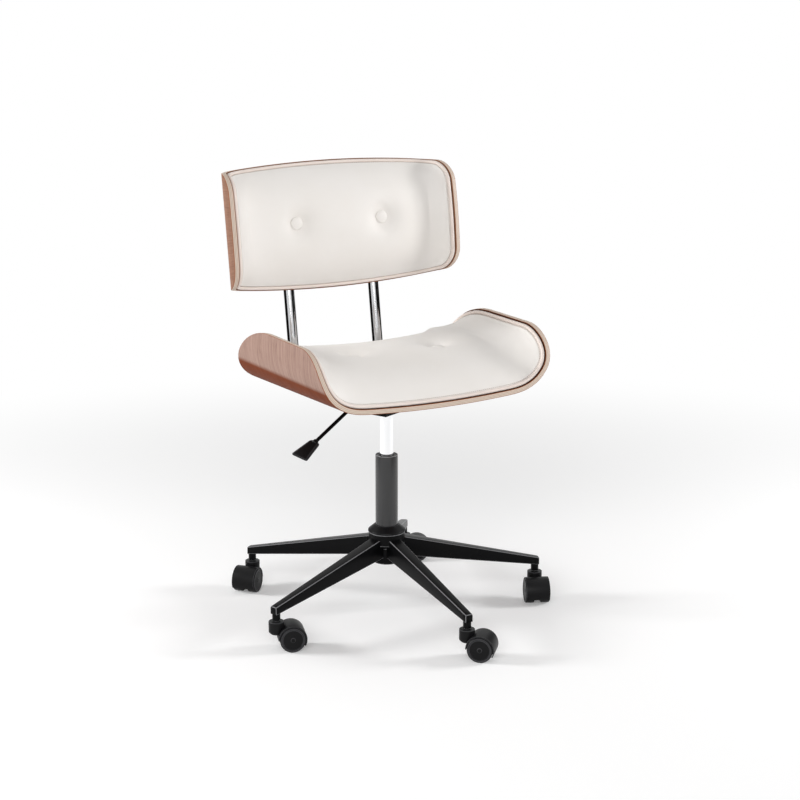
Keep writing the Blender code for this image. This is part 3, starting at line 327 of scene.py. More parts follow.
def ply_edge(name, pale, deep, face, layers):
    """Plies seen end on, pale and deep by turns, between two face veneers."""
    made, tree, shader = new_finish(name)
    grain, place = on_sheet(tree, 900.0, 0.05)
    wave = maths(tree, "SINE", maths(tree, "MULTIPLY", place["Y"], math.pi * layers / PLY))
    band = ranged(tree, maths(tree, "ADD", wave, maths(tree, "MULTIPLY", grain["Grain"], 0.8)), -0.2, 0.75)
    outer = maths(tree, "LESS_THAN", place["Y"], FACE_VENEER)
    inner = maths(tree, "GREATER_THAN", place["Y"], PLY - FACE_VENEER)
    plies = mixed(tree, band, linear(*pale), linear(*deep))
    feed(tree, shader, Base_Color=mixed(tree, maths(tree, "MAXIMUM", outer, inner), plies, linear(*face)),
         Roughness=0.5, Specular_IOR_Level=0.25, Normal=relief(tree, grain["Grain"], 0.00004))
    return made


def bare_plywood(name, pale, deep):
    made, tree, shader = new_finish(name)
    grain = on_object(tree, wood_grain, Lines=180.0, Stretch=0.06)
    feed(tree, shader, Base_Color=mixed(tree, grain["Grain"], linear(*pale), linear(*deep)),
         Roughness=ranged(tree, grain["Figure"], 0.6, 0.8), Normal=relief(tree, grain["Grain"], 0.00005))
    return made


# The seat shell's pale pinkish wings are a painted reflection of the left lamp, and its deep brown middle,
# where the sheet curls under, is painted shade.
walnut = veneer("walnut", (189, 160, 147), (128, 64, 36), (68, 31, 16), (0.259, 0.272))
walnut_back = veneer("walnut_back", (158, 123, 104), (172, 136, 118), (92, 56, 42), (0.270, 0.298))
# The seat's inside veneer is partly the dark wood and partly painted shade: it shows only as the thin line in
# the gap under the piping.
walnut_inside = veneer("walnut_inside", (84, 50, 34), (78, 45, 30), (44, 24, 16), (0.230, 0.250))
walnut_inside_back = veneer("walnut_inside_back", (150, 116, 94), (136, 100, 78), (88, 58, 42),
                            (0.230, 0.250))
edge_ply = ply_edge("edge_ply", (214, 197, 182), (186, 164, 145), (146, 88, 54), 7)
bare_ply = bare_plywood("bare_ply", (205, 182, 148), (178, 150, 116))
print("wood finishes made")

# %% [markdown]
# ## Making pieces
# Nearly every hard piece is a skin drawn over a row of closed rings of points: a turned
# part, a tube along a path, or a bar whose section changes. One skinning helper serves
# them all. Every edge gets a small rounding, because only a rounded edge catches light.

# %% Skins, turned parts and tubes


def spread(start, end, steps):
    """Evenly spaced values from start to end."""
    return [start + (end - start) * i / steps for i in range(steps + 1)]


def running_lengths(points):
    """How far along a path each of its points lies."""
    lengths = [0.0]
    for here, there in zip(points, points[1:]):
        lengths.append(lengths[-1] + (there - here).length)
    return lengths


def heading(path, index, looped=False):
    """The direction of a path at one of its points."""
    count = len(path)
    if looped:
        return (path[(index + 1) % count] - path[index - 1]).normalized()
    return (path[min(index + 1, count - 1)] - path[max(index - 1, 0)]).normalized()


def turn_to(axis):
    """The rotation that takes the Z axis to a direction."""
    return Vector((0, 0, 1)).rotation_difference(Vector(axis)).to_matrix().to_4x4()


def shape_of(*meshes):
    shape = bmesh.new()
    for mesh in meshes:
        shape.from_mesh(mesh)
    return shape


def stored(shape, mesh):
    """Write an edited shape into a mesh and let the shape go."""
    shape.to_mesh(mesh)
    shape.free()
    return mesh


def cleaned(mesh):
    shape = shape_of(mesh)
    bmesh.ops.remove_doubles(shape, verts=shape.verts[:], dist=0.000002)
    bmesh.ops.dissolve_degenerate(shape, edges=shape.edges[:], dist=0.000001)
    bmesh.ops.recalc_face_normals(shape, faces=shape.faces[:])
    return stored(shape, mesh)


def closed_skin(rings, looped=False):
    """A closed mesh through rings of points; rings that shrink to a point close as poles."""
    size = len(rings[0])
    spans = len(rings) if looped else len(rings) - 1
    faces = []
    for row in range(spans):
        here, there = row * size, (row + 1) % len(rings) * size
        for i in range(size):
            j = (i + 1) % size
            faces.append((here + i, here + j, there + j, there + i))
    if not looped:
        faces.append(tuple(range(size)))
        faces.append(tuple(range(len(rings) * size - 1, (len(rings) - 1) * size - 1, -1)))
    mesh = bpy.data.meshes.new("skin")
    mesh.from_pydata([point for ring in rings for point in ring], [], faces)
    return cleaned(mesh)


def corner_arc(here, start, end, shares):
    """Points on the small arc that takes the place of a corner."""
    return [start * (1 - t) ** 2 + here * (2 * t * (1 - t)) + end * t ** 2 for t in shares]


def rounded(points, radius, steps=3, closed=True):
    """Corners of a profile or path replaced by small arcs."""
    made = []
    count = len(points)
    for i, point in enumerate(points):
        here = Vector(point)
        if not closed and i in (0, count - 1):
            made.append(here)
            continue
        back, on = Vector(points[i - 1]) - here, Vector(points[(i + 1) % count]) - here
        reach = min(radius, back.length * 0.45, on.length * 0.45)
        start, end = here + back.normalized() * reach, here + on.normalized() * reach
        made += corner_arc(here, start, end, [k / steps for k in range(steps + 1)])
    return made


def circle(radius, sides):
    return [(radius * math.cos(2 * math.pi * i / sides), radius * math.sin(2 * math.pi * i / sides))
            for i in range(sides)]


def turned(profile, sides=64, radius=0.0006, steps=3):
    """A solid turned about Z. A profile that starts on the axis closes there."""
    solid = profile[0][0] == 0
    rings = [[Vector((x, y, point.y)) for x, y in circle(point.x, sides)]
             for point in rounded(profile, radius, steps, closed=not solid)]
    return closed_skin(rings, looped=not solid)


def sweep(path, section, looped=False):
    """A section carried along a path without twisting; section points are (side, up)."""
    rings = []
    side = heading(path, 0, looped).orthogonal().normalized()
    for i, point in enumerate(path):
        run = heading(path, i, looped)
        side = (side - run * side.dot(run)).normalized()
        up = run.cross(side)
        rings.append([point + side * a + up * b for a, b in section])
    return closed_skin(rings, looped)


def shifted(mesh, matrix):
    made = mesh.copy()
    made.transform(matrix)
    return made


def bar(radius, length, centre, axis, sides=32, edge=0.0005):
    """A round bar along an axis with rounded ends."""
    end = length / 2
    mesh = turned([(0, end), (radius, end), (radius, -end), (0, -end)], sides, edge)
    return shifted(mesh, Matrix.Translation(centre) @ turn_to(axis))


def together(*meshes):
    """Several meshes in one; each keeps its own closed skin."""
    return stored(shape_of(*meshes), bpy.data.meshes.new("together"))


# Narrow faces on edges that turn this much get the painted highlight.
HIGHLIGHT_WIDTH, HIGHLIGHT_TURN = 0.0012, math.radians(12)


def mark_painted_highlights(mesh):
    """Mark the narrow faces of rounded edges, where the black finishes paint a highlight."""
    shape = shape_of(mesh)
    painted_highlight = shape.faces.layers.float.get("painted_highlight") or shape.faces.layers.float.new("painted_highlight")
    for face in shape.faces:
        longest = max(edge.calc_length() for edge in face.edges)
        turns = [edge.calc_face_angle(0.0) for edge in face.edges if edge.calc_length() > 0.6 * longest]
        narrow = face.calc_area() < HIGHLIGHT_WIDTH * longest
        if narrow and max(turns) > HIGHLIGHT_TURN and face.normal.z > -0.2:
            face[painted_highlight] = 1.0
    stored(shape, mesh)


def piece(name, mesh, finishes, body, stands_for=(), sharp=40):
    """Link a finished mesh, measured from the column's axis, and tie it to its CAD body."""
    mesh.transform(Matrix.Translation(COLUMN))
    # Black pieces get their painted edge highlight marked.
    if finishes in (black_paint, black_plastic, tube_paint):
        mark_painted_highlights(mesh)
    made = linked(name, mesh)
    for finish in finishes if isinstance(finishes, (list, tuple)) else [finishes]:
        mesh.materials.append(finish)
    mesh.shade_smooth()
    mesh.set_sharp_from_angle(angle=math.radians(sharp))
    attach(made, body)
    if stands_for:
        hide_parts(*stands_for)
    print(f"{name}: {len(mesh.polygons)} faces on {body}")
    return made


# %% [markdown]
# ## The bent sheets
# The seat and the back are each a flat sheet with round corners, bent about one axis.
# A place on a sheet is given by three numbers: how far along the bent section, how far
# across it, and how high over the outer face. Shells, cushions, piping and buttons all
# use these numbers, so they stay together whatever the bend.

# %% The sheets' shapes
SEAT = {"half": 0.3385, "front": 0.210, "rear": 0.175, "height": 0.4578, "pitch": 0.029,
        "curve": 1 / 2.1834, "bend": (0.1485, 0.3304, 1.50), "splay": 0.0156}
BACK = {"half": 0.3133, "half_height": 0.1293, "height": 0.7528, "depth": 0.2385, "lean": 0.149,
        "curve": 0.0, "bend": (0.1820, 0.2830, 1.395), "bow": 0.018, "crown": 0.168}
SHEET_CORNER = {"seat_front": (0.080, 0.080), "seat_rear": (0.130, 0.170), "back": (0.0465, 0.0465)}


def between(value, start, end):
    """How far a value has come from start to end, from 0 to 1."""
    return min(max((value - start) / (end - start), 0.0), 1.0)


def over_section(sheet, along, reach, height, steps=40):
    """How far aside and how far out a point lies over a sheet's bent section."""
    start, end, bend = sheet["bend"]
    step = reach / steps
    aside = out = 0.0
    for i in range(steps + 1):
        at = reach if i == steps else (i + 0.5) * step
        share = between(at, start, end)
        slope = sheet["curve"] * at + bend * share * share * (3 - 2 * share)
        if i < steps:
            aside += math.cos(slope) * step
            out += math.sin(slope) * step
    return math.copysign(aside - height * math.sin(slope), along), out + height * math.cos(slope)


def seat_point(along, across, height):
    reach = abs(along) * (1 + SEAT["splay"] * across / SEAT["rear"])
    x, z = over_section(SEAT, along, reach, height)
    c, s = math.cos(SEAT["pitch"]), math.sin(SEAT["pitch"])
    return Vector((x, across * c + z * s, SEAT["height"] + z * c - across * s))


def back_point(along, across, height):
    reach = abs(along) * (1 - BACK["bow"] * (across / BACK["half_height"]) ** 2)
    rise = across * (1 - BACK["crown"] * (along / BACK["half"]) ** 2)
    x, out = over_section(BACK, along, reach, height)
    c, s = math.cos(BACK["lean"]), math.sin(BACK["lean"])
    return Vector((x, BACK["depth"] - out * c + rise * s, BACK["height"] + out * s + rise * c))


def frame_on(point, along, across):
    """A frame on a sheet's outer face, its Z axis towards the sitter."""
    origin = point(along, across, 0.0)
    up = (point(along, across, 0.01) - origin).normalized()
    side = (point(along + 0.001, across, 0.0) - origin).normalized()
    turn = Matrix((side, up.cross(side).normalized(), up)).transposed().to_4x4()
    return Matrix.Translation(origin) @ turn


class Outline:
    """A sheet's flat outline, drawn in from the shell's edge by an inset."""

    def __init__(self, half, low, high, low_corner, high_corner, inset):
        self.half, self.low, self.high = half - inset, low + inset, high - inset
        self.low_corner = [size - inset for size in low_corner]
        self.high_corner = [size - inset for size in high_corner]

    def limits(self, along):
        return (self.low + self.drawn_in(abs(along), self.low_corner),
                self.high - self.drawn_in(abs(along), self.high_corner))

    def drawn_in(self, along, corner):
        past = min(max(along - (self.half - corner[0]), 0.0), corner[0])
        return corner[1] * (1 - math.sqrt(max(0.0, 1 - (past / corner[0]) ** 2)))

    def stations(self, inner, rounds):
        """Distances from the middle, closer together round the corners."""
        start = self.half - max(self.low_corner[0], self.high_corner[0])
        half = [start * i / inner for i in range(inner + 1)]
        half += [start + (self.half - start) * math.sin(math.pi / 2 * i / rounds)
                 for i in range(1, rounds + 1)]
        return [-s for s in reversed(half) if s > 0] + half


def seat_outline(inset):
    return Outline(SEAT["half"], -SEAT["front"], SEAT["rear"], SHEET_CORNER["seat_front"],
                   SHEET_CORNER["seat_rear"], inset)


def back_outline(inset):
    half, corner = BACK["half_height"], SHEET_CORNER["back"]
    return Outline(BACK["half"], -half, half, corner, corner, inset)


SHEETS = (("seat", seat_point, seat_outline), ("back", back_point, back_outline))
print("seat front", [round(v, 4) for v in seat_point(0, -SEAT["front"], 0)])

# %% [markdown]
# A sheet is skinned as two fine grids joined by bands round the rim. The bands step in
# and out a little, which rounds the edge, and they carry their own finish: on a shell
# they show the plies. The same maker gives a cushion when its upper grid is raised.

# %% The sheet maker


def sheet_mesh(point, outline_at, grid, layers, top=None):
    """A closed sheet from its outer face up; layers are (height, inset) pairs."""
    inner, rounds, rows = grid
    shape = bmesh.new()
    uv = shape.loops.layers.uv.new("sheet")
    spots = {}

    def place(i, j, height, inset):
        outline = outline_at(inset)
        along = columns[inset][i]
        low, high = outline.limits(along)
        share = (1 - math.cos(math.pi * j / rows)) * 0.25 + j / rows * 0.5
        across = low + (high - low) * share
        level = top(along, across, outline) if height is None else height
        vert = shape.verts.new(point(along, across, level))
        spots[vert] = (along, across)
        return vert

    columns = {inset: outline_at(inset).stations(inner, rounds) for _, inset in layers}
    last = len(columns[layers[0][1]]) - 1
    rim = [(i, 0) for i in range(last)] + [(last, j) for j in range(rows)]
    rim += [(i, rows) for i in range(last, 0, -1)] + [(0, j) for j in range(rows, 0, -1)]
    grids = []
    for height, inset in (layers[0], layers[-1]):
        grids.append({(i, j): place(i, j, height, inset) for i in range(last + 1) for j in range(rows + 1)})
    bands = [[grids[0][spot] for spot in rim]]
    for height, inset in layers[1:-1]:
        bands.append([place(i, j, height, inset) for i, j in rim])
    bands.append([grids[1][spot] for spot in rim])
    for index, grid_verts in enumerate(grids):
        for i in range(last):
            for j in range(rows):
                corners = [grid_verts[spot] for spot in ((i, j), (i + 1, j), (i + 1, j + 1), (i, j + 1))]
                face = shape.faces.new(corners[::-1] if index == 0 else corners)
                face.material_index = 2 * index
                for loop in face.loops:
                    loop[uv].uv = spots[loop.vert]
    lengths = running_lengths([vert.co for vert in bands[0] + bands[0][:1]])
    for row in range(len(bands) - 1):
        heights = [layers[row][0] or 0.0, layers[row + 1][0] or 0.0]
        for k in range(len(rim)):
            n = (k + 1) % len(rim)
            face = shape.faces.new([bands[row][k], bands[row][n], bands[row + 1][n], bands[row + 1][k]])
            face.material_index = 1
            for loop, spot in zip(face.loops, ((k, 0), (k + 1, 0), (k + 1, 1), (k, 1))):
                loop[uv].uv = (lengths[spot[0]], heights[spot[1]])
    return stored(shape, bpy.data.meshes.new("sheet"))


rim_round = [(0.0, 0.0006), (0.0002, 0.0002), (0.0006, 0.0)]
shell_layers = rim_round + [(PLY / 2, 0.0)] + [(PLY - height, inset) for height, inset in reversed(rim_round)]
shell_look = {"seat": ((28, 18, 40), [walnut, edge_ply, walnut_inside]),
              "back": ((36, 12, 30), [walnut_back, edge_ply, walnut_inside_back])}
for name, point, outline_at in SHEETS:
    grid, finishes = shell_look[name]
    piece(f"{name}_shell_veneered", sheet_mesh(point, outline_at, grid, shell_layers), finishes, "seat",
          [f"{name}_shell"])

# %% [markdown]
# ## Cushions
# Each cushion is foam under a sewn cover. It is crowned in the middle, falls away
# steeply at its sewn edge, and two covered buttons pull it down to its board. We start
# from a closed form a little smaller than the real one.

# %% The cushions' crowned forms
CUSHION_FOOT = 0.0164
EDGE_LIFT = 0.0032
CROWN_INSET = 0.0100
TUFT = {"depth": 0.0125, "reach": 0.043, "flat": 0.0140, "power": 2.2}
PADS = {"seat": {"loft": 0.0665, "powers": (6.5, 3.8), "rear": 7.0, "button": (0.0967, -0.0406),
                 "grid": (40, 22, 56)},
        "back": {"loft": 0.0390, "powers": (4.0, 3.2), "rear": 0.0, "button": (0.0964, 0.0057),
                 "grid": (50, 14, 44)}}
BEND_AT, BEND_REACH = 0.235, 0.060
PAD_LAYERS = [(CUSHION_FOOT, 0.0118), (CUSHION_FOOT, 0.0099), (0.0130, 0.0098), (0.0126, 0.0096),
              (0.0130, 0.0094), (0.0174, 0.0094), (0.0190, 0.0098), (None, 0.0106)]


def crown(pad, outline, along, across):
    """How full a cushion is: 1 in its middle and 0 on its outline."""
    low, high = outline.limits(along)
    middle = (outline.low + outline.high) / 2
    edge = high if across > middle else low
    share = min(1.0, abs((across - middle) / (edge - middle)))
    length = min(1.0, abs(along) / outline.half)
    near_bend = math.exp(-((abs(along) - BEND_AT) / BEND_REACH) ** 2) if across > middle else 0.0
    return (1 - length ** pad["powers"][0]) * (1 - share ** (pad["powers"][1] + pad["rear"] * near_bend))


def pad_top(pad, outline_at):
    """A cushion's upper surface: its crown, drawn down round the buttons."""
    full = outline_at(CROWN_INSET)

    def level(along, across, outline=None):
        base = CUSHION_FOOT + EDGE_LIFT
        high = base + pad["loft"] * crown(pad, full, along, across)
        floor = base + pad["loft"] * crown(pad, full, *pad["button"]) - TUFT["depth"]
        gap = math.hypot(abs(along) - pad["button"][0], across - pad["button"][1])
        share = between(gap, TUFT["reach"], TUFT["flat"])
        return high + (floor - high) * share ** TUFT["power"] * (1.6 - 0.6 * share)

    return level


# %% [markdown]
# The real cover is pulled tight by its foam, so no crease is left where the shell bends.
# A voxel copy of the cushion has its hollows filled and is blown up as cloth for twenty
# frames, held at its foot and under its buttons. The fine mesh then follows the copy but
# keeps its own clean sewn edge, and one subdivision finishes it.

# %% Blow up the cushions
VOXEL = 0.006
FOOT_INSET, FOOT_HOLD, BUTTON_HOLD = 0.0060, 0.006, 0.0150
FILL_HOLD, FILL_STEPS = 0.034, 240
CLOTH_FRAMES, PRESSURE = 20, 4.0
SWELL_CAP = 0.030
FOLLOW_FROM, FOLLOW_FULL = 0.003, 0.015
SNAP_FROM, SNAP_FULL = 0.020, 0.034
RELAX_HEIGHT, RELAX_GAP, RELAX_STEPS = 0.010, 0.024, 8


def evaluated(helper):
    """The plain mesh of an object with its modifiers."""
    bpy.context.view_layer.update()
    return bpy.data.meshes.new_from_object(helper.evaluated_get(bpy.context.evaluated_depsgraph_get()))


def search_tree(mesh):
    return BVHTree.FromPolygons([vert.co for vert in mesh.vertices],
                                [tuple(face.vertices) for face in mesh.polygons])


def filled_out(mesh, free, steps):
    """Fill the hollows of a mesh: free points rise to the mean of their neighbours, never sink."""
    count = len(mesh.vertices)
    spots = np.empty(count * 3)
    mesh.vertices.foreach_get("co", spots)
    spots = spots.reshape(count, 3)
    ends = np.empty(len(mesh.edges) * 2, dtype=np.int32)
    mesh.edges.foreach_get("vertices", ends)
    first, second = ends[0::2], ends[1::2]
    degree = np.bincount(ends, minlength=count)[:, None]
    open_to_move = np.zeros((count, 1))
    open_to_move[free] = 1.0
    for turn in range(steps):
        if turn % 20 == 0:
            mesh.vertices.foreach_set("co", spots.ravel())
            mesh.update()
            normals = np.array([tuple(normal.vector) for normal in mesh.vertex_normals])
        total = np.stack([np.bincount(first, spots[second, axis], count)
                          + np.bincount(second, spots[first, axis], count) for axis in range(3)], axis=1)
        shift = total / degree - spots
        rise = (shift * normals).sum(axis=1, keepdims=True)
        spots = spots + normals * np.clip(rise, 0.0, None) * 0.5 * open_to_move
    mesh.vertices.foreach_set("co", spots.ravel())
    mesh.update()


def relaxed(mesh, free, steps):
    """Even out the free points of a mesh, a little at a time."""
    shape = shape_of(mesh)
    shape.verts.ensure_lookup_table()
    loose = [shape.verts[index] for index in free]
    for _ in range(steps):
        bmesh.ops.smooth_vert(shape, verts=loose, factor=0.5, use_axis_x=True, use_axis_y=True,
                              use_axis_z=True)
    stored(shape, mesh)


def foot_search(point, outline_at):
    """A search tree of the board's face, which tells how high a point lies over it."""
    outline = outline_at(FOOT_INSET)
    rows, columns = 24, 60
    corners = []
    for i in range(columns + 1):
        along = outline.half * (2 * i / columns - 1)
        low, high = outline.limits(along)
        corners += [point(along, low + (high - low) * j / rows, CUSHION_FOOT) for j in range(rows + 1)]
    size = rows + 1
    faces = [(i * size + j, (i + 1) * size + j, (i + 1) * size + j + 1, i * size + j + 1)
             for i in range(columns) for j in range(rows)]
    return BVHTree.FromPolygons(corners, faces)


def blown_up(mesh, point, outline_at, pad):
    """A voxel copy before and after it swells, with its moves, its foot and its buttons."""
    helper = linked("filling", mesh.copy())
    voxels = helper.modifiers.new("voxels", "REMESH")
    voxels.mode, voxels.voxel_size = "VOXEL", VOXEL
    skin = evaluated(helper)
    helper.modifiers.remove(voxels)
    foot = foot_search(point, outline_at)
    level = pad_top(pad, outline_at)(*pad["button"])
    buttons = [point(side * pad["button"][0], pad["button"][1], level) for side in (1, -1)]
    near = [min((vert.co - spot).length for spot in buttons) for vert in skin.vertices]
    held = [vert.index for vert in skin.vertices
            if foot.find_nearest(vert.co)[3] < FOOT_HOLD or near[vert.index] < BUTTON_HOLD]
    away = [index for index, gap in enumerate(near) if gap > FILL_HOLD]
    helper.data = skin.copy()
    filled_out(helper.data, sorted(set(away) - set(held)), FILL_STEPS)
    helper.vertex_groups.new(name="held").add(held, 1.0, "REPLACE")
    cloth = helper.modifiers.new("cloth", "CLOTH")
    cloth.settings.use_pressure = True
    cloth.settings.uniform_pressure_force = PRESSURE
    cloth.settings.vertex_group_mass = "held"
    cloth.settings.effector_weights.gravity = 0.0
    for moment in range(1, CLOTH_FRAMES + 1):
        scene.frame_set(moment)
    after = evaluated(helper)
    scene.frame_set(1)
    bpy.data.objects.remove(helper)
    moves = [there.co - here.co for here, there in zip(skin.vertices, after.vertices)]
    return skin, moves, foot, search_tree(after), buttons


def followed(mesh, skin, moves, foot, swollen, buttons):
    """Move a fine mesh as the copy moved, less and less towards its foot and its buttons."""
    search = search_tree(skin)
    free = []
    for vert in mesh.vertices:
        spot, _, index, _ = search.find_nearest(vert.co)
        corners = skin.polygons[index].vertices
        weights = [1 / (0.0001 + (skin.vertices[corner].co - spot).length) for corner in corners]
        pulls = (moves[corner] * weight for corner, weight in zip(corners, weights))
        move = sum(pulls, Vector()) / sum(weights)
        if move.length > SWELL_CAP:
            move *= SWELL_CAP / move.length
        height = foot.find_nearest(vert.co)[3]
        share = between(height, FOLLOW_FROM, FOLLOW_FULL)
        share *= share * (3 - 2 * share)
        near = min((vert.co - spot).length for spot in buttons)
        aim = vert.co + move
        aim = aim.lerp(swollen.find_nearest(aim)[0], between(near, SNAP_FROM, SNAP_FULL))
        vert.co = vert.co.lerp(aim, share)
        if height > RELAX_HEIGHT and near > RELAX_GAP:
            free.append(vert.index)
    relaxed(mesh, free, RELAX_STEPS)


for name, point, outline_at in SHEETS:
    pad = PADS[name]
    mesh = sheet_mesh(point, outline_at, pad["grid"], PAD_LAYERS, pad_top(pad, outline_at))
    swell = blown_up(mesh, point, outline_at, pad)
    print(name, "cushion moved by up to", round(max(move.length for move in swell[1]) * 1000, 1), "mm")
    followed(mesh, *swell)
    helper = linked("cushion", mesh)
    finer = helper.modifiers.new("finer", "SUBSURF")
    finer.levels = finer.render_levels = 1
    mesh = evaluated(helper)
    bpy.data.objects.remove(helper)
    made = piece(f"{name}_cushion_sewn", mesh, cover, "seat", [f"{name}_cushion"], 60)
    for face in mesh.polygons:
        face.material_index = 0

# %% [markdown]
# The piping is a cord sewn into a strip of the cover, run round the cushion's edge. It
# is a thin tube on a closed path that the outline gives.

# %% Piping and buttons
CORD = {"radius": 0.0035, "inset": 0.0058, "height": PLY + 0.0040, "step": 0.004}
BUTTON_SINK = 0.0009


def loop_on(point, outline, height, step):
    """Evenly spaced points round an outline, at one height over the sheet."""
    stations = outline.stations(60, 30)
    low, high = outline.limits(outline.half)
    spots = [(s, outline.limits(s)[0]) for s in stations]
    spots += [(outline.half, across) for across in spread(low, high, 24)[1:-1]]
    spots += [(s, outline.limits(s)[1]) for s in reversed(stations)]
    spots += [(-outline.half, across) for across in spread(high, low, 24)[1:-1]]
    rough = [point(along, across, height) for along, across in spots + spots[:1]]
    lengths = running_lengths(rough)
    count = round(lengths[-1] / step)
    made, k = [], 0
    for i in range(count):
        at = lengths[-1] * i / count
        while lengths[k + 1] < at:
            k += 1
        made.append(rough[k].lerp(rough[k + 1], (at - lengths[k]) / (lengths[k + 1] - lengths[k])))
    return made


# A covered button is a low dome with a rolled rim.
button_profile = [(0, 0.0052), (0.0040, 0.0050), (0.0080, 0.0042), (0.0110, 0.0030), (0.0127, 0.0016),
                  (0.0129, 0.0008), (0.0119, 0.0001), (0, 0.0001)]
button = turned(button_profile, 48, 0.0012, 3)
for name, point, outline_at in SHEETS:
    route = loop_on(point, outline_at(CORD["inset"]), CORD["height"], CORD["step"])
    piece(f"{name}_piping", sweep(route, circle(CORD["radius"], 14), True), piping, "seat", [f"{name}_welt"])
    along, across = PADS[name]["button"]
    floor = pad_top(PADS[name], outline_at)(along, across) + BUTTON_SINK
    for label, side in (("left", 1), ("right", -1)):
        place = frame_on(point, side * along, across) @ Matrix.Translation((0, 0, floor))
        piece(f"{name}_button_{label}_covered", shifted(button, place), cover, "seat",
              [f"{name}_button_{label}"])

# %% [markdown]
# ## Parts that repeat
# Five alike arms stand round the hub, eight balls round the bearing, and alike bolts hold
# the posts. Geometry Nodes copy one form by a rule, with the sizes as named inputs. The
# result is turned into a plain mesh at once, because the export drops instances.

# %% Geometry Nodes helpers
GEOMETRY, MATERIAL, WHOLE = "NodeSocketGeometry", "NodeSocketMaterial", "NodeSocketInt"


def geometry_tree(name, inputs):
    """A tree that takes a mesh, some sizes and a finish, and gives a mesh."""
    inputs = [("Geometry", GEOMETRY, None)] + inputs + [("Finish", MATERIAL, None)]
    return new_tree("GeometryNodeTree", name, inputs, [("Geometry", GEOMETRY)])


def copies_out(tree, gate, out, spots, form, rotation):
    """End a tree: a form on each point, made real, in its finish."""
    copies = put(tree, "GeometryNodeInstanceOnPoints", Points=spots, Instance=form, Rotation=rotation)
    real = put(tree, "GeometryNodeRealizeInstances", Geometry=copies.outputs[0])
    made = put(tree, "GeometryNodeSetMaterial", Geometry=real.outputs[0], Material=gate.outputs["Finish"])
    feed(tree, out, Geometry=made.outputs[0])


def aimed_copies_out(tree, gate, out, form):
    """End a tree that turns its form on each point to the aim stored there."""
    aim = got(tree, "GeometryNodeInputNamedAttribute", {"data_type": "FLOAT_VECTOR"}, Name="aim")
    turn = got(tree, "FunctionNodeAlignRotationToVector", {"axis": "Z"}, Vector=aim)
    spots = got(tree, "GeometryNodeMeshToPoints", Mesh=gate.outputs["Geometry"])
    copies_out(tree, gate, out, spots, form, turn)


def aimed_points(spots, aims):
    """A mesh of loose points, each with the direction that its copy will take."""
    mesh = bpy.data.meshes.new("points")
    mesh.from_pydata(spots, [], [])
    for item, aim in zip(mesh.attributes.new("aim", "FLOAT_VECTOR", "POINT").data, aims):
        item.vector = aim
    return mesh


def grown(mesh, tree, finish, **values):
    """The plain mesh that a Geometry Nodes tree makes from a mesh."""
    helper = linked("helper", mesh)
    modifier = helper.modifiers.new("grow", "NODES")
    modifier.node_group = tree
    sockets = {item.name: item.identifier for item in tree.interface.items_tree
               if item.item_type == "SOCKET" and item.in_out == "INPUT"}
    modifier[sockets["Finish"]] = finish
    for label, value in values.items():
        modifier[sockets[label.replace("_", " ")]] = value
    made = evaluated(helper)
    helper.modifiers.remove(modifier)
    bpy.data.objects.remove(helper)
    made.materials.clear()
    return made


# %% [markdown]
# The cover is sewn to its piping with a short straight stitch. A tree sets one small
# thread on each point of a path and turns it to the direction stored there, so a whole
# seam is a row of points.

# %% Stitches beside the piping
SEAM_INSET, SEAM_HEIGHT, STITCH_STEP = 0.0095, 0.0186, 0.0044
stitch_row, gate, out = geometry_tree(
    "stitch_row", [("Length", FLOAT, 0.0028), ("Thickness", FLOAT, 0.0004)])
strand = put(stitch_row, "GeometryNodeMeshCylinder", Vertices=6, Radius=gate.outputs["Thickness"],
             Depth=gate.outputs["Length"]).outputs["Mesh"]
aimed_copies_out(stitch_row, gate, out, strand)

for name, point, outline_at in SHEETS:
    route = loop_on(point, outline_at(SEAM_INSET), SEAM_HEIGHT, STITCH_STEP)
    seam = aimed_points(route, [heading(route, i, True) for i in range(len(route))])
    stitches = grown(seam, stitch_row, thread, Length=0.0028, Thickness=0.0004)
    piece(f"{name}_seam_stitched", stitches, thread, "seat", ())

# %% A tree that copies a form round the axis
round_axis, gate, out = geometry_tree("round_axis", [("Count", WHOLE, 5), ("Start", FLOAT, 0.0)])
step = maths(round_axis, "DIVIDE", 2 * math.pi, gate.outputs["Count"])
order = got(round_axis, "GeometryNodeInputIndex")
turn = maths(round_axis, "ADD", maths(round_axis, "MULTIPLY", order, step), gate.outputs["Start"])
spots = got(round_axis, "GeometryNodePoints", Count=gate.outputs["Count"])
spin = got(round_axis, "ShaderNodeCombineXYZ", Z=turn)
copies_out(round_axis, gate, out, spots, gate.outputs["Geometry"], spin)
print("tree", round_axis.name)

# %% [markdown]
# ## The star base
# The base is welded steel, coated in satin black. Five tapered arms with rounded upper
# ridges leave a turned hub and fall gently to upright sockets for the castors. Each arm
# is a skin through sections that shrink towards its tip.

# %% The base
STEM_CIRCLE = 0.3090
ARM_TIP = STEM_CIRCLE + 0.0078
TUBE_R = 0.0225
FIRST_ARM = -90
ARM = {"root": 0.025, "root_width": 0.0270, "tip_width": 0.0160, "top": 0.0874, "top_fall": 0.232,
       "foot": 0.0730, "foot_fall": 0.145}
ARM_RADII = (0.0012, 0.0034, 0.0034, 0.0012)


def arm_section(x, shrink=0.0):
    share = (x - ARM["root"]) / (ARM_TIP - ARM["root"])
    half = (ARM["root_width"] + (ARM["tip_width"] - ARM["root_width"]) * share) / 2 - shrink
    top = ARM["top"] + ARM["top_fall"] * (ARM_TIP - x) - shrink
    foot = ARM["foot"] + ARM["foot_fall"] * (STEM_CIRCLE - x) + shrink
    corners = [Vector(corner) for corner in ((half, foot), (half, top), (-half, top), (-half, foot))]
    ring = []
    for i, (here, radius) in enumerate(zip(corners, ARM_RADII)):
        back, on = corners[i - 1] - here, corners[(i + 1) % 4] - here
        start, end = here + back.normalized() * radius, here + on.normalized() * radius
        ring += corner_arc(here, start, end, (0.0, 0.3, 0.4, 0.6, 0.7, 1.0))
    return [Vector((x, spot.x, spot.y)) for spot in ring]


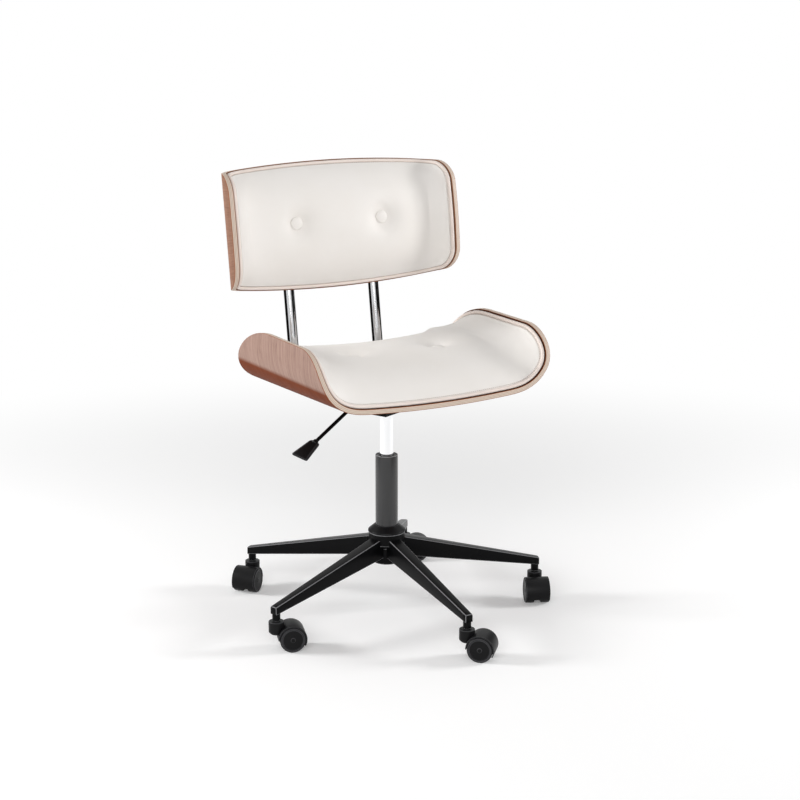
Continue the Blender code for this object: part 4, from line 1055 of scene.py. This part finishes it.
rings = [arm_section(x) for x in spread(0.0245, ARM_TIP - 0.0012, 24)]
rings += [arm_section(ARM_TIP - 0.0004, 0.0003), arm_section(ARM_TIP, 0.0010)]
socket = turned([(0, 0.0800), (0.0078, 0.0800), (0.0078, 0.0594), (0.0066, 0.0594), (0.0066, 0.0582),
                 (0.0040, 0.0582), (0.0040, 0.0390), (0, 0.0390)], 40, 0.0005)
arm = together(closed_skin(rings), shifted(socket, Matrix.Translation((STEM_CIRCLE, 0, 0))))
arms = grown(arm, round_axis, black_paint, Count=5, Start=math.radians(FIRST_ARM))
hub = turned([(0.0365, 0.1640), (0.0365, 0.1400), (0.0270, 0.1340), (0.0270, 0.1000), (0.0229, 0.1000),
              (0.0229, 0.1640)], 96, 0.0016, 4)
piece("star_base_welded", together(hub, arms), black_paint, "base", ["star_base"])

# %% [markdown]
# ## The column
# A steel tube stands in the hub, a plastic bush in its mouth guides the chrome gas
# cylinder, and a cone-shaped cover hides the joint with the hub. All are turned parts.
# Seen from above, the bush shows as a dark ring round the cylinder.

# %% Tube, bush, cover and gas cylinder
tube_profile = [(TUBE_R, 0.3225), (TUBE_R, 0.1010), (0.0210, 0.1010), (0.0210, 0.3225)]
bush_profile = [(0.0206, 0.3214), (0.0206, 0.2346), (0.0146, 0.2346), (0.0146, 0.3200), (0.0158, 0.3214)]
cover_profile = [(0.0244, 0.1785), (0.0262, 0.1768), (0.0368, 0.1680), (0.0375, 0.1666), (0.0375, 0.1644),
                 (0.0231, 0.1644), (0.0231, 0.1785)]
cylinder_profile = [(0.0131, 0.4360), (0.0140, 0.3960), (0.0140, 0.2250), (0.0120, 0.2250), (0.0120, 0.4160),
                    (0.0046, 0.4160), (0.0046, 0.4360)]
for node, manner, profile, sides, edge, finish, body, slot in (
        ("column_tube", "coated", tube_profile, 96, 0.0007, tube_paint, "base", "black_steel"),
        ("guide_bush", "moulded", bush_profile, 80, 0.0004, acetal, "base", "bush_plastic"),
        ("hub_cover", "moulded", cover_profile, 96, 0.0005, black_plastic, "base", "black_plastic"),
        ("gas_cylinder", "chromed", cylinder_profile, 96, 0.0004, chrome, "seat", "chrome")):
    piece(f"{node}_{manner}", turned(profile, sides, edge), finish, body, [node])

# %% [markdown]
# The bearing under the gas spring is a cage with eight balls. It sits deep in the tube,
# but a learner who opens the model will find it, so it gets the same care.

# %% The ball race
BALLS, BALL_R, BALL_CIRCLE = 8, 0.0019, 0.0078
ball = bmesh.new()
on_circle = Matrix.Translation((BALL_CIRCLE, 0, 0))
bmesh.ops.create_icosphere(ball, subdivisions=2, radius=BALL_R, matrix=on_circle)
balls = grown(stored(ball, bpy.data.meshes.new("ball")), round_axis, zinc, Count=BALLS, Start=0.0)
cage = turned([(0.0096, 0.0005), (0.0096, -0.0005), (0.0060, -0.0005), (0.0060, 0.0005)], 64, 0.0001)
race_low, race_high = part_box("bearing_ball_race")
race_middle = Matrix.Translation((0, 0, (race_low.z + race_high.z) / 2))
piece("ball_race_caged", shifted(together(balls, cage), race_middle), zinc, "base", ["bearing_ball_race"])

# %% [markdown]
# ## Castors
# A castor is a moulded hood over two wheels. The hood is half a drum with a web between
# the wheels and a round boss for the stem. Each wheel is a disc with a raised rim and a
# small cap. One hood and one wheel are made, then set down five times at the angles at
# which the castors stand.

# %% Hood and wheel
WHEEL_R = 0.025 * math.cos(math.pi / 24)
WHEEL_INNER, WHEEL_OUTER = 0.0068, 0.0250
AXLE = Vector((0.0285, 0, WHEEL_R))
AXLE_R, AXLE_LENGTH = 0.0030, 0.0136 + 2 * 0.0147
DRUM_HALF, DRUM_OUTSIDE, DRUM_INSIDE = 0.0238, 0.0276, 0.0256
WEB_HALF, WEB_R = 0.0064, 0.0262
SKIRT = math.radians(-28)
HEADINGS = (-42.8, 246.0, -30.0, 222.2, -18.5)


def hood_mesh():
    """The drum over the wheels, its web, its axle boss and its stem boss."""
    band = rounded([(DRUM_HALF, DRUM_OUTSIDE), (DRUM_HALF, DRUM_INSIDE), (-DRUM_HALF, DRUM_INSIDE),
                    (-DRUM_HALF, DRUM_OUTSIDE)], 0.0008, 3)
    drum = closed_skin([[AXLE + Vector((math.cos(turn) * p.y, p.x, math.sin(turn) * p.y)) for p in band]
                        for turn in spread(SKIRT, math.pi, 52)])
    edge = [(math.cos(turn) * WEB_R, math.sin(turn) * WEB_R) for turn in spread(SKIRT, math.pi, 40)]
    web = closed_skin([[AXLE + Vector((x, y, z)) for x, z in edge] for y in (-WEB_HALF, WEB_HALF)])
    boss = turned([(0, 0.0575), (0.0150, 0.0575), (0.0150, 0.0360), (0.0105, 0.0315), (0, 0.0315)],
                  64, 0.0012, 4)
    collar = turned([(0, 0.0577), (0.0098, 0.0577), (0.0104, 0.0571), (0, 0.0571)], 48, 0.0002)
    return together(drum, web, boss, collar, bar(0.0075, 2 * WEB_HALF, AXLE, (0, 1, 0)))


def wheel_mesh():
    """A wheel about Z: tread, raised rim, sunk disc and centre cap."""
    inner, outer = WHEEL_INNER, WHEEL_OUTER
    profile = [(0, outer - 0.0004), (0.0040, outer - 0.0004), (0.0046, outer - 0.0011),
               (0.0192, outer - 0.0008), (0.0206, outer - 0.0014), (0.0212, outer - 0.0002),
               (WHEEL_R - 0.0016, outer - 0.0002), (WHEEL_R, outer - 0.0018), (WHEEL_R, inner + 0.0010),
               (WHEEL_R - 0.0010, inner), (0.0036, inner), (0.0036, outer - 0.0034), (0, outer - 0.0034)]
    return turned(profile, 80, 0.0004, 2)


hood, wheel = hood_mesh(), wheel_mesh()
axle = bar(AXLE_R, AXLE_LENGTH, (0, 0, 0), (0, 1, 0), 24)
print("hood", len(hood.polygons), "wheel", len(wheel.polygons))

# %% Set the castors down
for number, way in enumerate(HEADINGS, start=1):
    around = math.radians(FIRST_ARM + 72 * (number - 1))
    spot = Matrix.Translation((STEM_CIRCLE * math.cos(around), STEM_CIRCLE * math.sin(around), 0))
    stand = spot @ Matrix.Rotation(math.radians(way), 4, "Z")
    at_axle = stand @ Matrix.Translation(AXLE)
    castor = f"castor_{number}"
    piece(f"{castor}_hood_moulded", shifted(hood, stand), black_plastic, castor, [f"{castor}_hood"])
    piece(f"{castor}_axle_pin", shifted(axle, at_axle), zinc, castor, [f"{castor}_axle"])
    for label, quarter in (("left", -math.pi / 2), ("right", math.pi / 2)):
        place = at_axle @ Matrix.Rotation(quarter, 4, "X")
        piece(f"{castor}_wheel_{label}_moulded", shifted(wheel, place), black_plastic, f"{castor}_{label}",
              [f"{castor}_wheel_{label}"])

# %% [markdown]
# ## Back posts
# Two chromed tubes run back under the seat, turn up in one bend and carry the backrest.
# The path is two straight lines joined by an arc, and a circle swept along it makes the
# tube. Hexagon bolts hold the tubes to both shells.

# %% Posts and plugs
POST_X, POST_R, POST_WALL = 0.0973, 0.0110, 0.0015
POST_SINK = -POST_R - 0.0003
POST_FRONT, POST_TOP, POST_BEND = -0.0200, 0.0480, 0.0320


def post_path():
    """The centre line of a post on the left: straight, bend, straight."""
    front, rear = [seat_point(POST_X, across, POST_SINK) for across in (POST_FRONT, SEAT["rear"])]
    low, top = [back_point(POST_X, across, POST_SINK) for across in (-BACK["half_height"], POST_TOP)]
    run, climb = (rear - front).normalized(), (top - low).normalized()
    apart = low - front
    share = (apart.z * climb.y - apart.y * climb.z) / (run.z * climb.y - run.y * climb.z)
    corner = front + run * share
    turn = run.angle(climb)
    start = corner - run * (POST_BEND * math.tan(turn / 2))
    normal = (climb - run * climb.dot(run)).normalized()
    middle = start + normal * POST_BEND
    bend = [middle + (run * math.sin(part) - normal * math.cos(part)) * POST_BEND
            for part in spread(0, turn, 28)]
    path = [front, front.lerp(bend[0], 0.5)] + bend + [bend[-1].lerp(top, 0.5), top]
    return [Vector((POST_X, point.y, point.z)) for point in path]


def tube_mesh(path, radius, wall, sides):
    """An open tube with a wall and rounded ends."""
    ends = [(0.0, radius - wall / 2), (0.0004, radius - 0.0001), (0.0010, radius)]
    inside = radius - wall

    def ring(index, size, shift=0.0):
        run = heading(path, index)
        side = Vector((1, 0, 0))
        up = run.cross(side)
        return [path[index] + run * shift + (side * x + up * y) * size for x, y in circle(1, sides)]

    last = len(path) - 1
    rings = [ring(0, size, shift) for shift, size in ends]
    rings += [ring(i, radius) for i in range(1, last)]
    rings += [ring(last, size, -shift) for shift, size in reversed(ends)]
    rings += [ring(last, inside, -0.0004)]
    rings += [ring(i, inside) for i in range(last - 1, 0, -1)]
    rings += [ring(0, inside, 0.0004)]
    return closed_skin(rings, looped=True)


path = post_path()
plug = turned([(0, 0.0023), (0.0100, 0.0023), (POST_R, 0.0013), (POST_R, 0.0003), (0.0088, 0.0003),
               (0.0088, -0.0100), (0, -0.0100)], 48, 0.0005)
for label, side in (("left", 1), ("right", -1)):
    mirrored = [Vector((side * point.x, point.y, point.z)) for point in path]
    piece(f"back_post_{label}_chromed", tube_mesh(mirrored, POST_R, POST_WALL, 40), tube_chrome, "seat",
          [f"back_post_{label}"])
    tube_end = Matrix.Translation(mirrored[-1]) @ turn_to(mirrored[-1] - mirrored[-2])
    piece(f"post_plug_{label}_moulded", shifted(plug, tube_end), black_plastic, "seat",
          [f"post_plug_{label}"])

# %% A tree that sets a bolt on each point
SEAT_BOLTS_AT, BACK_BOLTS_AT = (-0.0050, 0.1050), (-0.0700, 0.0250)
bolt_row, gate, out = geometry_tree("bolt_row", [
    ("Head width", FLOAT, 0.0110), ("Head height", FLOAT, 0.0033), ("Washer width", FLOAT, 0.0130),
    ("Shank length", FLOAT, 0.0300)])


def cylinder_node(sides, width, depth, sink=0.0):
    """A cylinder whose upper face lies at a depth under the bolt's own zero."""
    solid = put(bolt_row, "GeometryNodeMeshCylinder", Vertices=sides,
                Radius=maths(bolt_row, "MULTIPLY", width, 0.5), Depth=depth).outputs["Mesh"]
    shift = maths(bolt_row, "SUBTRACT", maths(bolt_row, "MULTIPLY", depth, -0.5), sink)
    offset = got(bolt_row, "ShaderNodeCombineXYZ", Z=shift)
    return got(bolt_row, "GeometryNodeTransform", Geometry=solid, Translation=offset)


width, height, length = [gate.outputs[label] for label in ("Head width", "Head height", "Shank length")]
head = cylinder_node(6, width, height)
dome = cylinder_node(24, maths(bolt_row, "MULTIPLY", width, 0.82), maths(bolt_row, "ADD", height, 0.0004))
washer = cylinder_node(32, gate.outputs["Washer width"], 0.0007)
shank = cylinder_node(16, 0.0060, length, maths(bolt_row, "MULTIPLY", length, -1.0))
joined = put(bolt_row, "GeometryNodeJoinGeometry")
for part in (head, dome, washer, shank):
    bolt_row.links.new(part, joined.inputs[0])
aimed_copies_out(bolt_row, gate, out, joined.outputs[0])

under_post = Matrix.Translation((0, 0, -2 * POST_R - 0.0003))
frames = [frame_on(point, side * POST_X, across) @ under_post
          for point, places in ((seat_point, SEAT_BOLTS_AT), (back_point, BACK_BOLTS_AT))
          for side in (1, -1) for across in places]
bolt_places = aimed_points([frame.translation for frame in frames],
                           [frame.to_3x3() @ Vector((0, 0, 1)) for frame in frames])
bolts = grown(bolt_places, bolt_row, zinc, Head_width=0.0110, Head_height=0.0033, Washer_width=0.0126,
              Shank_length=0.0330)
piece("post_bolts_hexagon", cleaned(bolts), zinc, "seat",
      ["back_bolt_1", "back_bolt_2", "back_bolt_3", "back_bolt_4"], 30)

# %% [markdown]
# ## The height lever
# A thin rod pivots in the housing under the seat and ends in a flat paddle. Lifting the
# paddle tips the rod's inner end down on the gas spring's valve. The paddle widens
# outwards and has a broad bevel all round, so it is skinned from sections like the arms.

# %% Rod and paddle
LEVER = Matrix.Rotation(math.radians(25.0), 4, "Z") @ Matrix.Translation((-0.0300, 0, 0.4410))
ROD_BEND, PADDLE_AT = 0.0870, 0.1990
ROD_R, ROD_CURVE = 0.0035, 0.012
SLOPE, PADDLE_ROLL = math.radians(20.9), math.radians(-15.9)
PADDLE = {"length": 0.052, "width": 0.0210, "widening": 0.0140, "thick": 0.0062, "thinning": 0.0016,
          "end_width": 0.0348, "end_thick": 0.0047, "bevel": 0.0036}
# Strength of the painted highlight on the paddle's bevel.
PADDLE_HIGHLIGHT = 0.55


def block(size, centre, edge):
    """A box with rounded edges."""
    shape = bmesh.new()
    bmesh.ops.create_cube(shape, size=1.0, matrix=Matrix.Translation(centre) @ Matrix.Diagonal((*size, 1)))
    bmesh.ops.bevel(shape, geom=shape.edges[:], offset=edge, segments=3, affect="EDGES")
    return stored(shape, bpy.data.meshes.new("block"))


out_along = Vector((-math.cos(SLOPE), 0, -math.sin(SLOPE)))
bend_at = Vector((-ROD_BEND, 0, 0))
paddle_at = bend_at + out_along * ((PADDLE_AT - ROD_BEND) / math.cos(SLOPE))
rod_path = rounded([(0, 0, 0), bend_at, paddle_at + out_along * 0.006], ROD_CURVE, 12, closed=False)
pivot = bar(0.0050, 0.0140, (0, 0, 0), (0, 1, 0))
finger = block((0.0340, 0.0060, 0.0054), (0.0165, 0, 0.0006), 0.0008)
rod = together(sweep(rod_path, circle(ROD_R, 32)), pivot, finger)
piece("lever_rod_bent", shifted(rod, LEVER), black_paint, "lever", ["lever_rod"])


def paddle_ring(at, width, thick, inset):
    """One section of the paddle: a flat face, a broad bevel and a rounded edge."""
    half, deep = width / 2 - inset, thick / 2 - inset * 0.3
    bevel = min(PADDLE["bevel"], half * 0.4)
    corners = [(half, -deep * 0.5), (half, deep * 0.35), (half - bevel, deep), (-half + bevel, deep),
               (-half, deep * 0.35), (-half, -deep * 0.5), (-half + 0.002, -deep), (half - 0.002, -deep)]
    return [Vector((at, p.x, p.y)) for p in rounded(corners, 0.0005, 2)]


def paddle_width(at):
    return PADDLE["width"] + PADDLE["widening"] * at / PADDLE["length"]


stations = [(0.0, 0.0030), (0.0006, 0.0014), (0.0020, 0.0004), (0.0040, 0.0)]
rings = [paddle_ring(at, paddle_width(at), PADDLE["thick"], inset) for at, inset in stations]
for at in (0.016, 0.030, 0.044):
    thick = PADDLE["thick"] - PADDLE["thinning"] * at / PADDLE["length"]
    rings.append(paddle_ring(at, paddle_width(at), thick, 0.0))
rings += [paddle_ring(PADDLE["length"] - at, PADDLE["end_width"], PADDLE["end_thick"], inset * 0.6)
          for at, inset in reversed(stations[:3])]
paddle = closed_skin(rings)
# The paddle's bevel faces get a weaker painted highlight.
edge_highlight = paddle.attributes.new("painted_highlight", "FLOAT", "FACE")
for face in paddle.polygons:
    edge_highlight.data[face.index].value = PADDLE_HIGHLIGHT * float(0.3 < face.normal.z < 0.96)
side = Vector((0, -1, 0))
facing = Matrix((out_along, side, out_along.cross(side))).transposed().to_4x4()
paddle = shifted(paddle, Matrix.Translation(paddle_at) @ facing @ Matrix.Rotation(PADDLE_ROLL, 4, "X"))
neck = bar(0.0052, 0.0090, paddle_at + out_along * 0.0010, out_along, 32, 0.0012)
piece("lever_paddle_moulded", shifted(together(paddle, neck), LEVER), black_plastic, "lever",
      ["lever_paddle"], 30)

# %% [markdown]
# ## The pieces that keep their solids
# The plain turned and pressed parts inside the chair already have their right shape. They
# keep their solids and get the finish of their material slot.

# %% Finish the kept solids
slot_finish = {"black_steel": black_paint, "black_plastic": black_plastic, "bush_plastic": acetal,
               "bright_steel": zinc, "rubber": rubber, "chrome": chrome, "walnut_ply": walnut,
               "board_ply": bare_ply, "cream_leatherette": cover, "welt_trim": piping}
for part in frame["record"]["subparts"]:
    for place in frame["nodes"][part["node"]].material_slots:
        place.material = slot_finish[part["material_slot"]]

# %% [markdown]
# ## Floor and light
# The object stands on a plain white floor. A large soft lamp in front lights it, a
# smaller one at each side throws the shadows, and a weak one hangs above. The floor keeps
# the shadows near the chair and turns into plain white further out, and the world is
# white where it is seen directly or in chrome, but gives only a moderate light.

# %% The floor
FLOOR_WHITE, FLOOR_LIFT = 0.88, 0.165
FADE_FROM, FADE_TO = 0.75, 2.2
floor_shape = bmesh.new()
bmesh.ops.create_grid(floor_shape, x_segments=2, y_segments=2, size=30.0)
floor_mesh = stored(floor_shape, bpy.data.meshes.new("floor"))
floor = linked("floor", floor_mesh)


def seen_directly(tree):
    """1 for camera, glossy and transmission rays, 0 for the rays that light the object."""
    path = put(tree, "ShaderNodeLightPath")
    both = maths(tree, "MAXIMUM", path.outputs["Is Camera Ray"], path.outputs["Is Glossy Ray"])
    return maths(tree, "MAXIMUM", both, path.outputs["Is Transmission Ray"])


def glow(tree, strength):
    return got(tree, "ShaderNodeEmission", Color=(1, 1, 1, 1), Strength=strength)


made, tree, shader = new_finish("studio_floor")
tree.nodes.remove(shader)
place = put(tree, "ShaderNodeTexCoord")
far = put(tree, "ShaderNodeVectorMath", {"operation": "LENGTH"}, i0=place.outputs["Object"]).outputs["Value"]
fade = got(tree, "ShaderNodeMapRange", {"interpolation_type": "SMOOTHSTEP"}, Value=far, From_Min=FADE_FROM,
           From_Max=FADE_TO)
matt = got(tree, "ShaderNodeBsdfDiffuse", Color=(FLOOR_WHITE, FLOOR_WHITE, FLOOR_WHITE, 1))
lifted = got(tree, "ShaderNodeAddShader", i0=matt, i1=glow(tree, FLOOR_LIFT))
shown = got(tree, "ShaderNodeMixShader", i0=fade, i1=lifted, i2=glow(tree, 1.0))
surface = got(tree, "ShaderNodeMixShader", i0=seen_directly(tree), i1=matt, i2=shown)
feed(tree, tree.nodes["Material Output"], Surface=surface)
floor_mesh.materials.append(made)
print("floor in", made.name)

# %% The world and the lamps
WORLD_LIGHT = 0.18
world = bpy.data.worlds.new("studio")
scene.world = world
world.use_nodes = True
tree = world.node_tree
feed(tree, tree.nodes["Background"], Color=(1, 1, 1, 1),
     Strength=ranged(tree, seen_directly(tree), WORLD_LIGHT, 1.0))

for name, place, target, size, power in (
        ("left_softbox", (-2.26, 1.28, 1.2), (0, 0, 0.3), (0.7, 0.6), 48),
        ("right_softbox", (2.40, -0.95, 1.2), (0, 0, 0.3), (0.7, 0.6), 40),
        ("front_softbox", (-2.1, -2.7, 1.8), (0, 0, 0.5), (2.6, 1.8), 68),
        ("top_softbox", (0, 0.2, 3.0), (0, 0, 0), (2.4, 2.4), 12)):
    light = bpy.data.lights.new(name, "AREA")
    light.shape = "RECTANGLE"
    light.size, light.size_y = size
    light.energy = power
    lamp = linked(name, light)
    lamp.location = place
    lamp.rotation_euler = (Vector(target) - Vector(place)).to_track_quat("-Z", "Y").to_euler()
    lamp.visible_camera = False
print("lamps", len(bpy.data.lights))

# %% [markdown]
# Chrome shows only what stands round it. A photographer puts dark cards at both sides of
# a bright tube to give it dark flanks. These two are seen by polished surfaces alone:
# they throw no shadow and take no light from the chair.

# %% Dark cards for the chrome
CARD_RADIUS, CARD_FOOT, CARD_TOP = 2.2, 0.05, 1.25
camera_turn = math.atan2(camera.location.y, camera.location.x)
card_black, tree, shader = new_finish("card_black")
feed(tree, shader, Base_Color=(0.004, 0.004, 0.004, 1), Roughness=0.9, Specular_IOR_Level=0.0)

for name, start, end in (("card_right_of_camera", 46, 150), ("card_left_of_camera", -150, -66)):
    turns = [camera_turn + math.radians(turn) for turn in spread(start, end, 12)]
    corners = [(CARD_RADIUS * math.cos(turn), CARD_RADIUS * math.sin(turn), z)
               for turn in turns for z in (CARD_FOOT, CARD_TOP)]
    mesh = bpy.data.meshes.new(name)
    mesh.from_pydata(corners, [], [(2 * i, 2 * i + 1, 2 * i + 3, 2 * i + 2) for i in range(12)])
    mesh.materials.append(card_black)
    stand = linked(name, mesh)
    for ray in ("camera", "diffuse", "transmission", "shadow", "volume_scatter"):
        setattr(stand, f"visible_{ray}", False)
print("cards", CARD_RADIUS, "m from the axis")
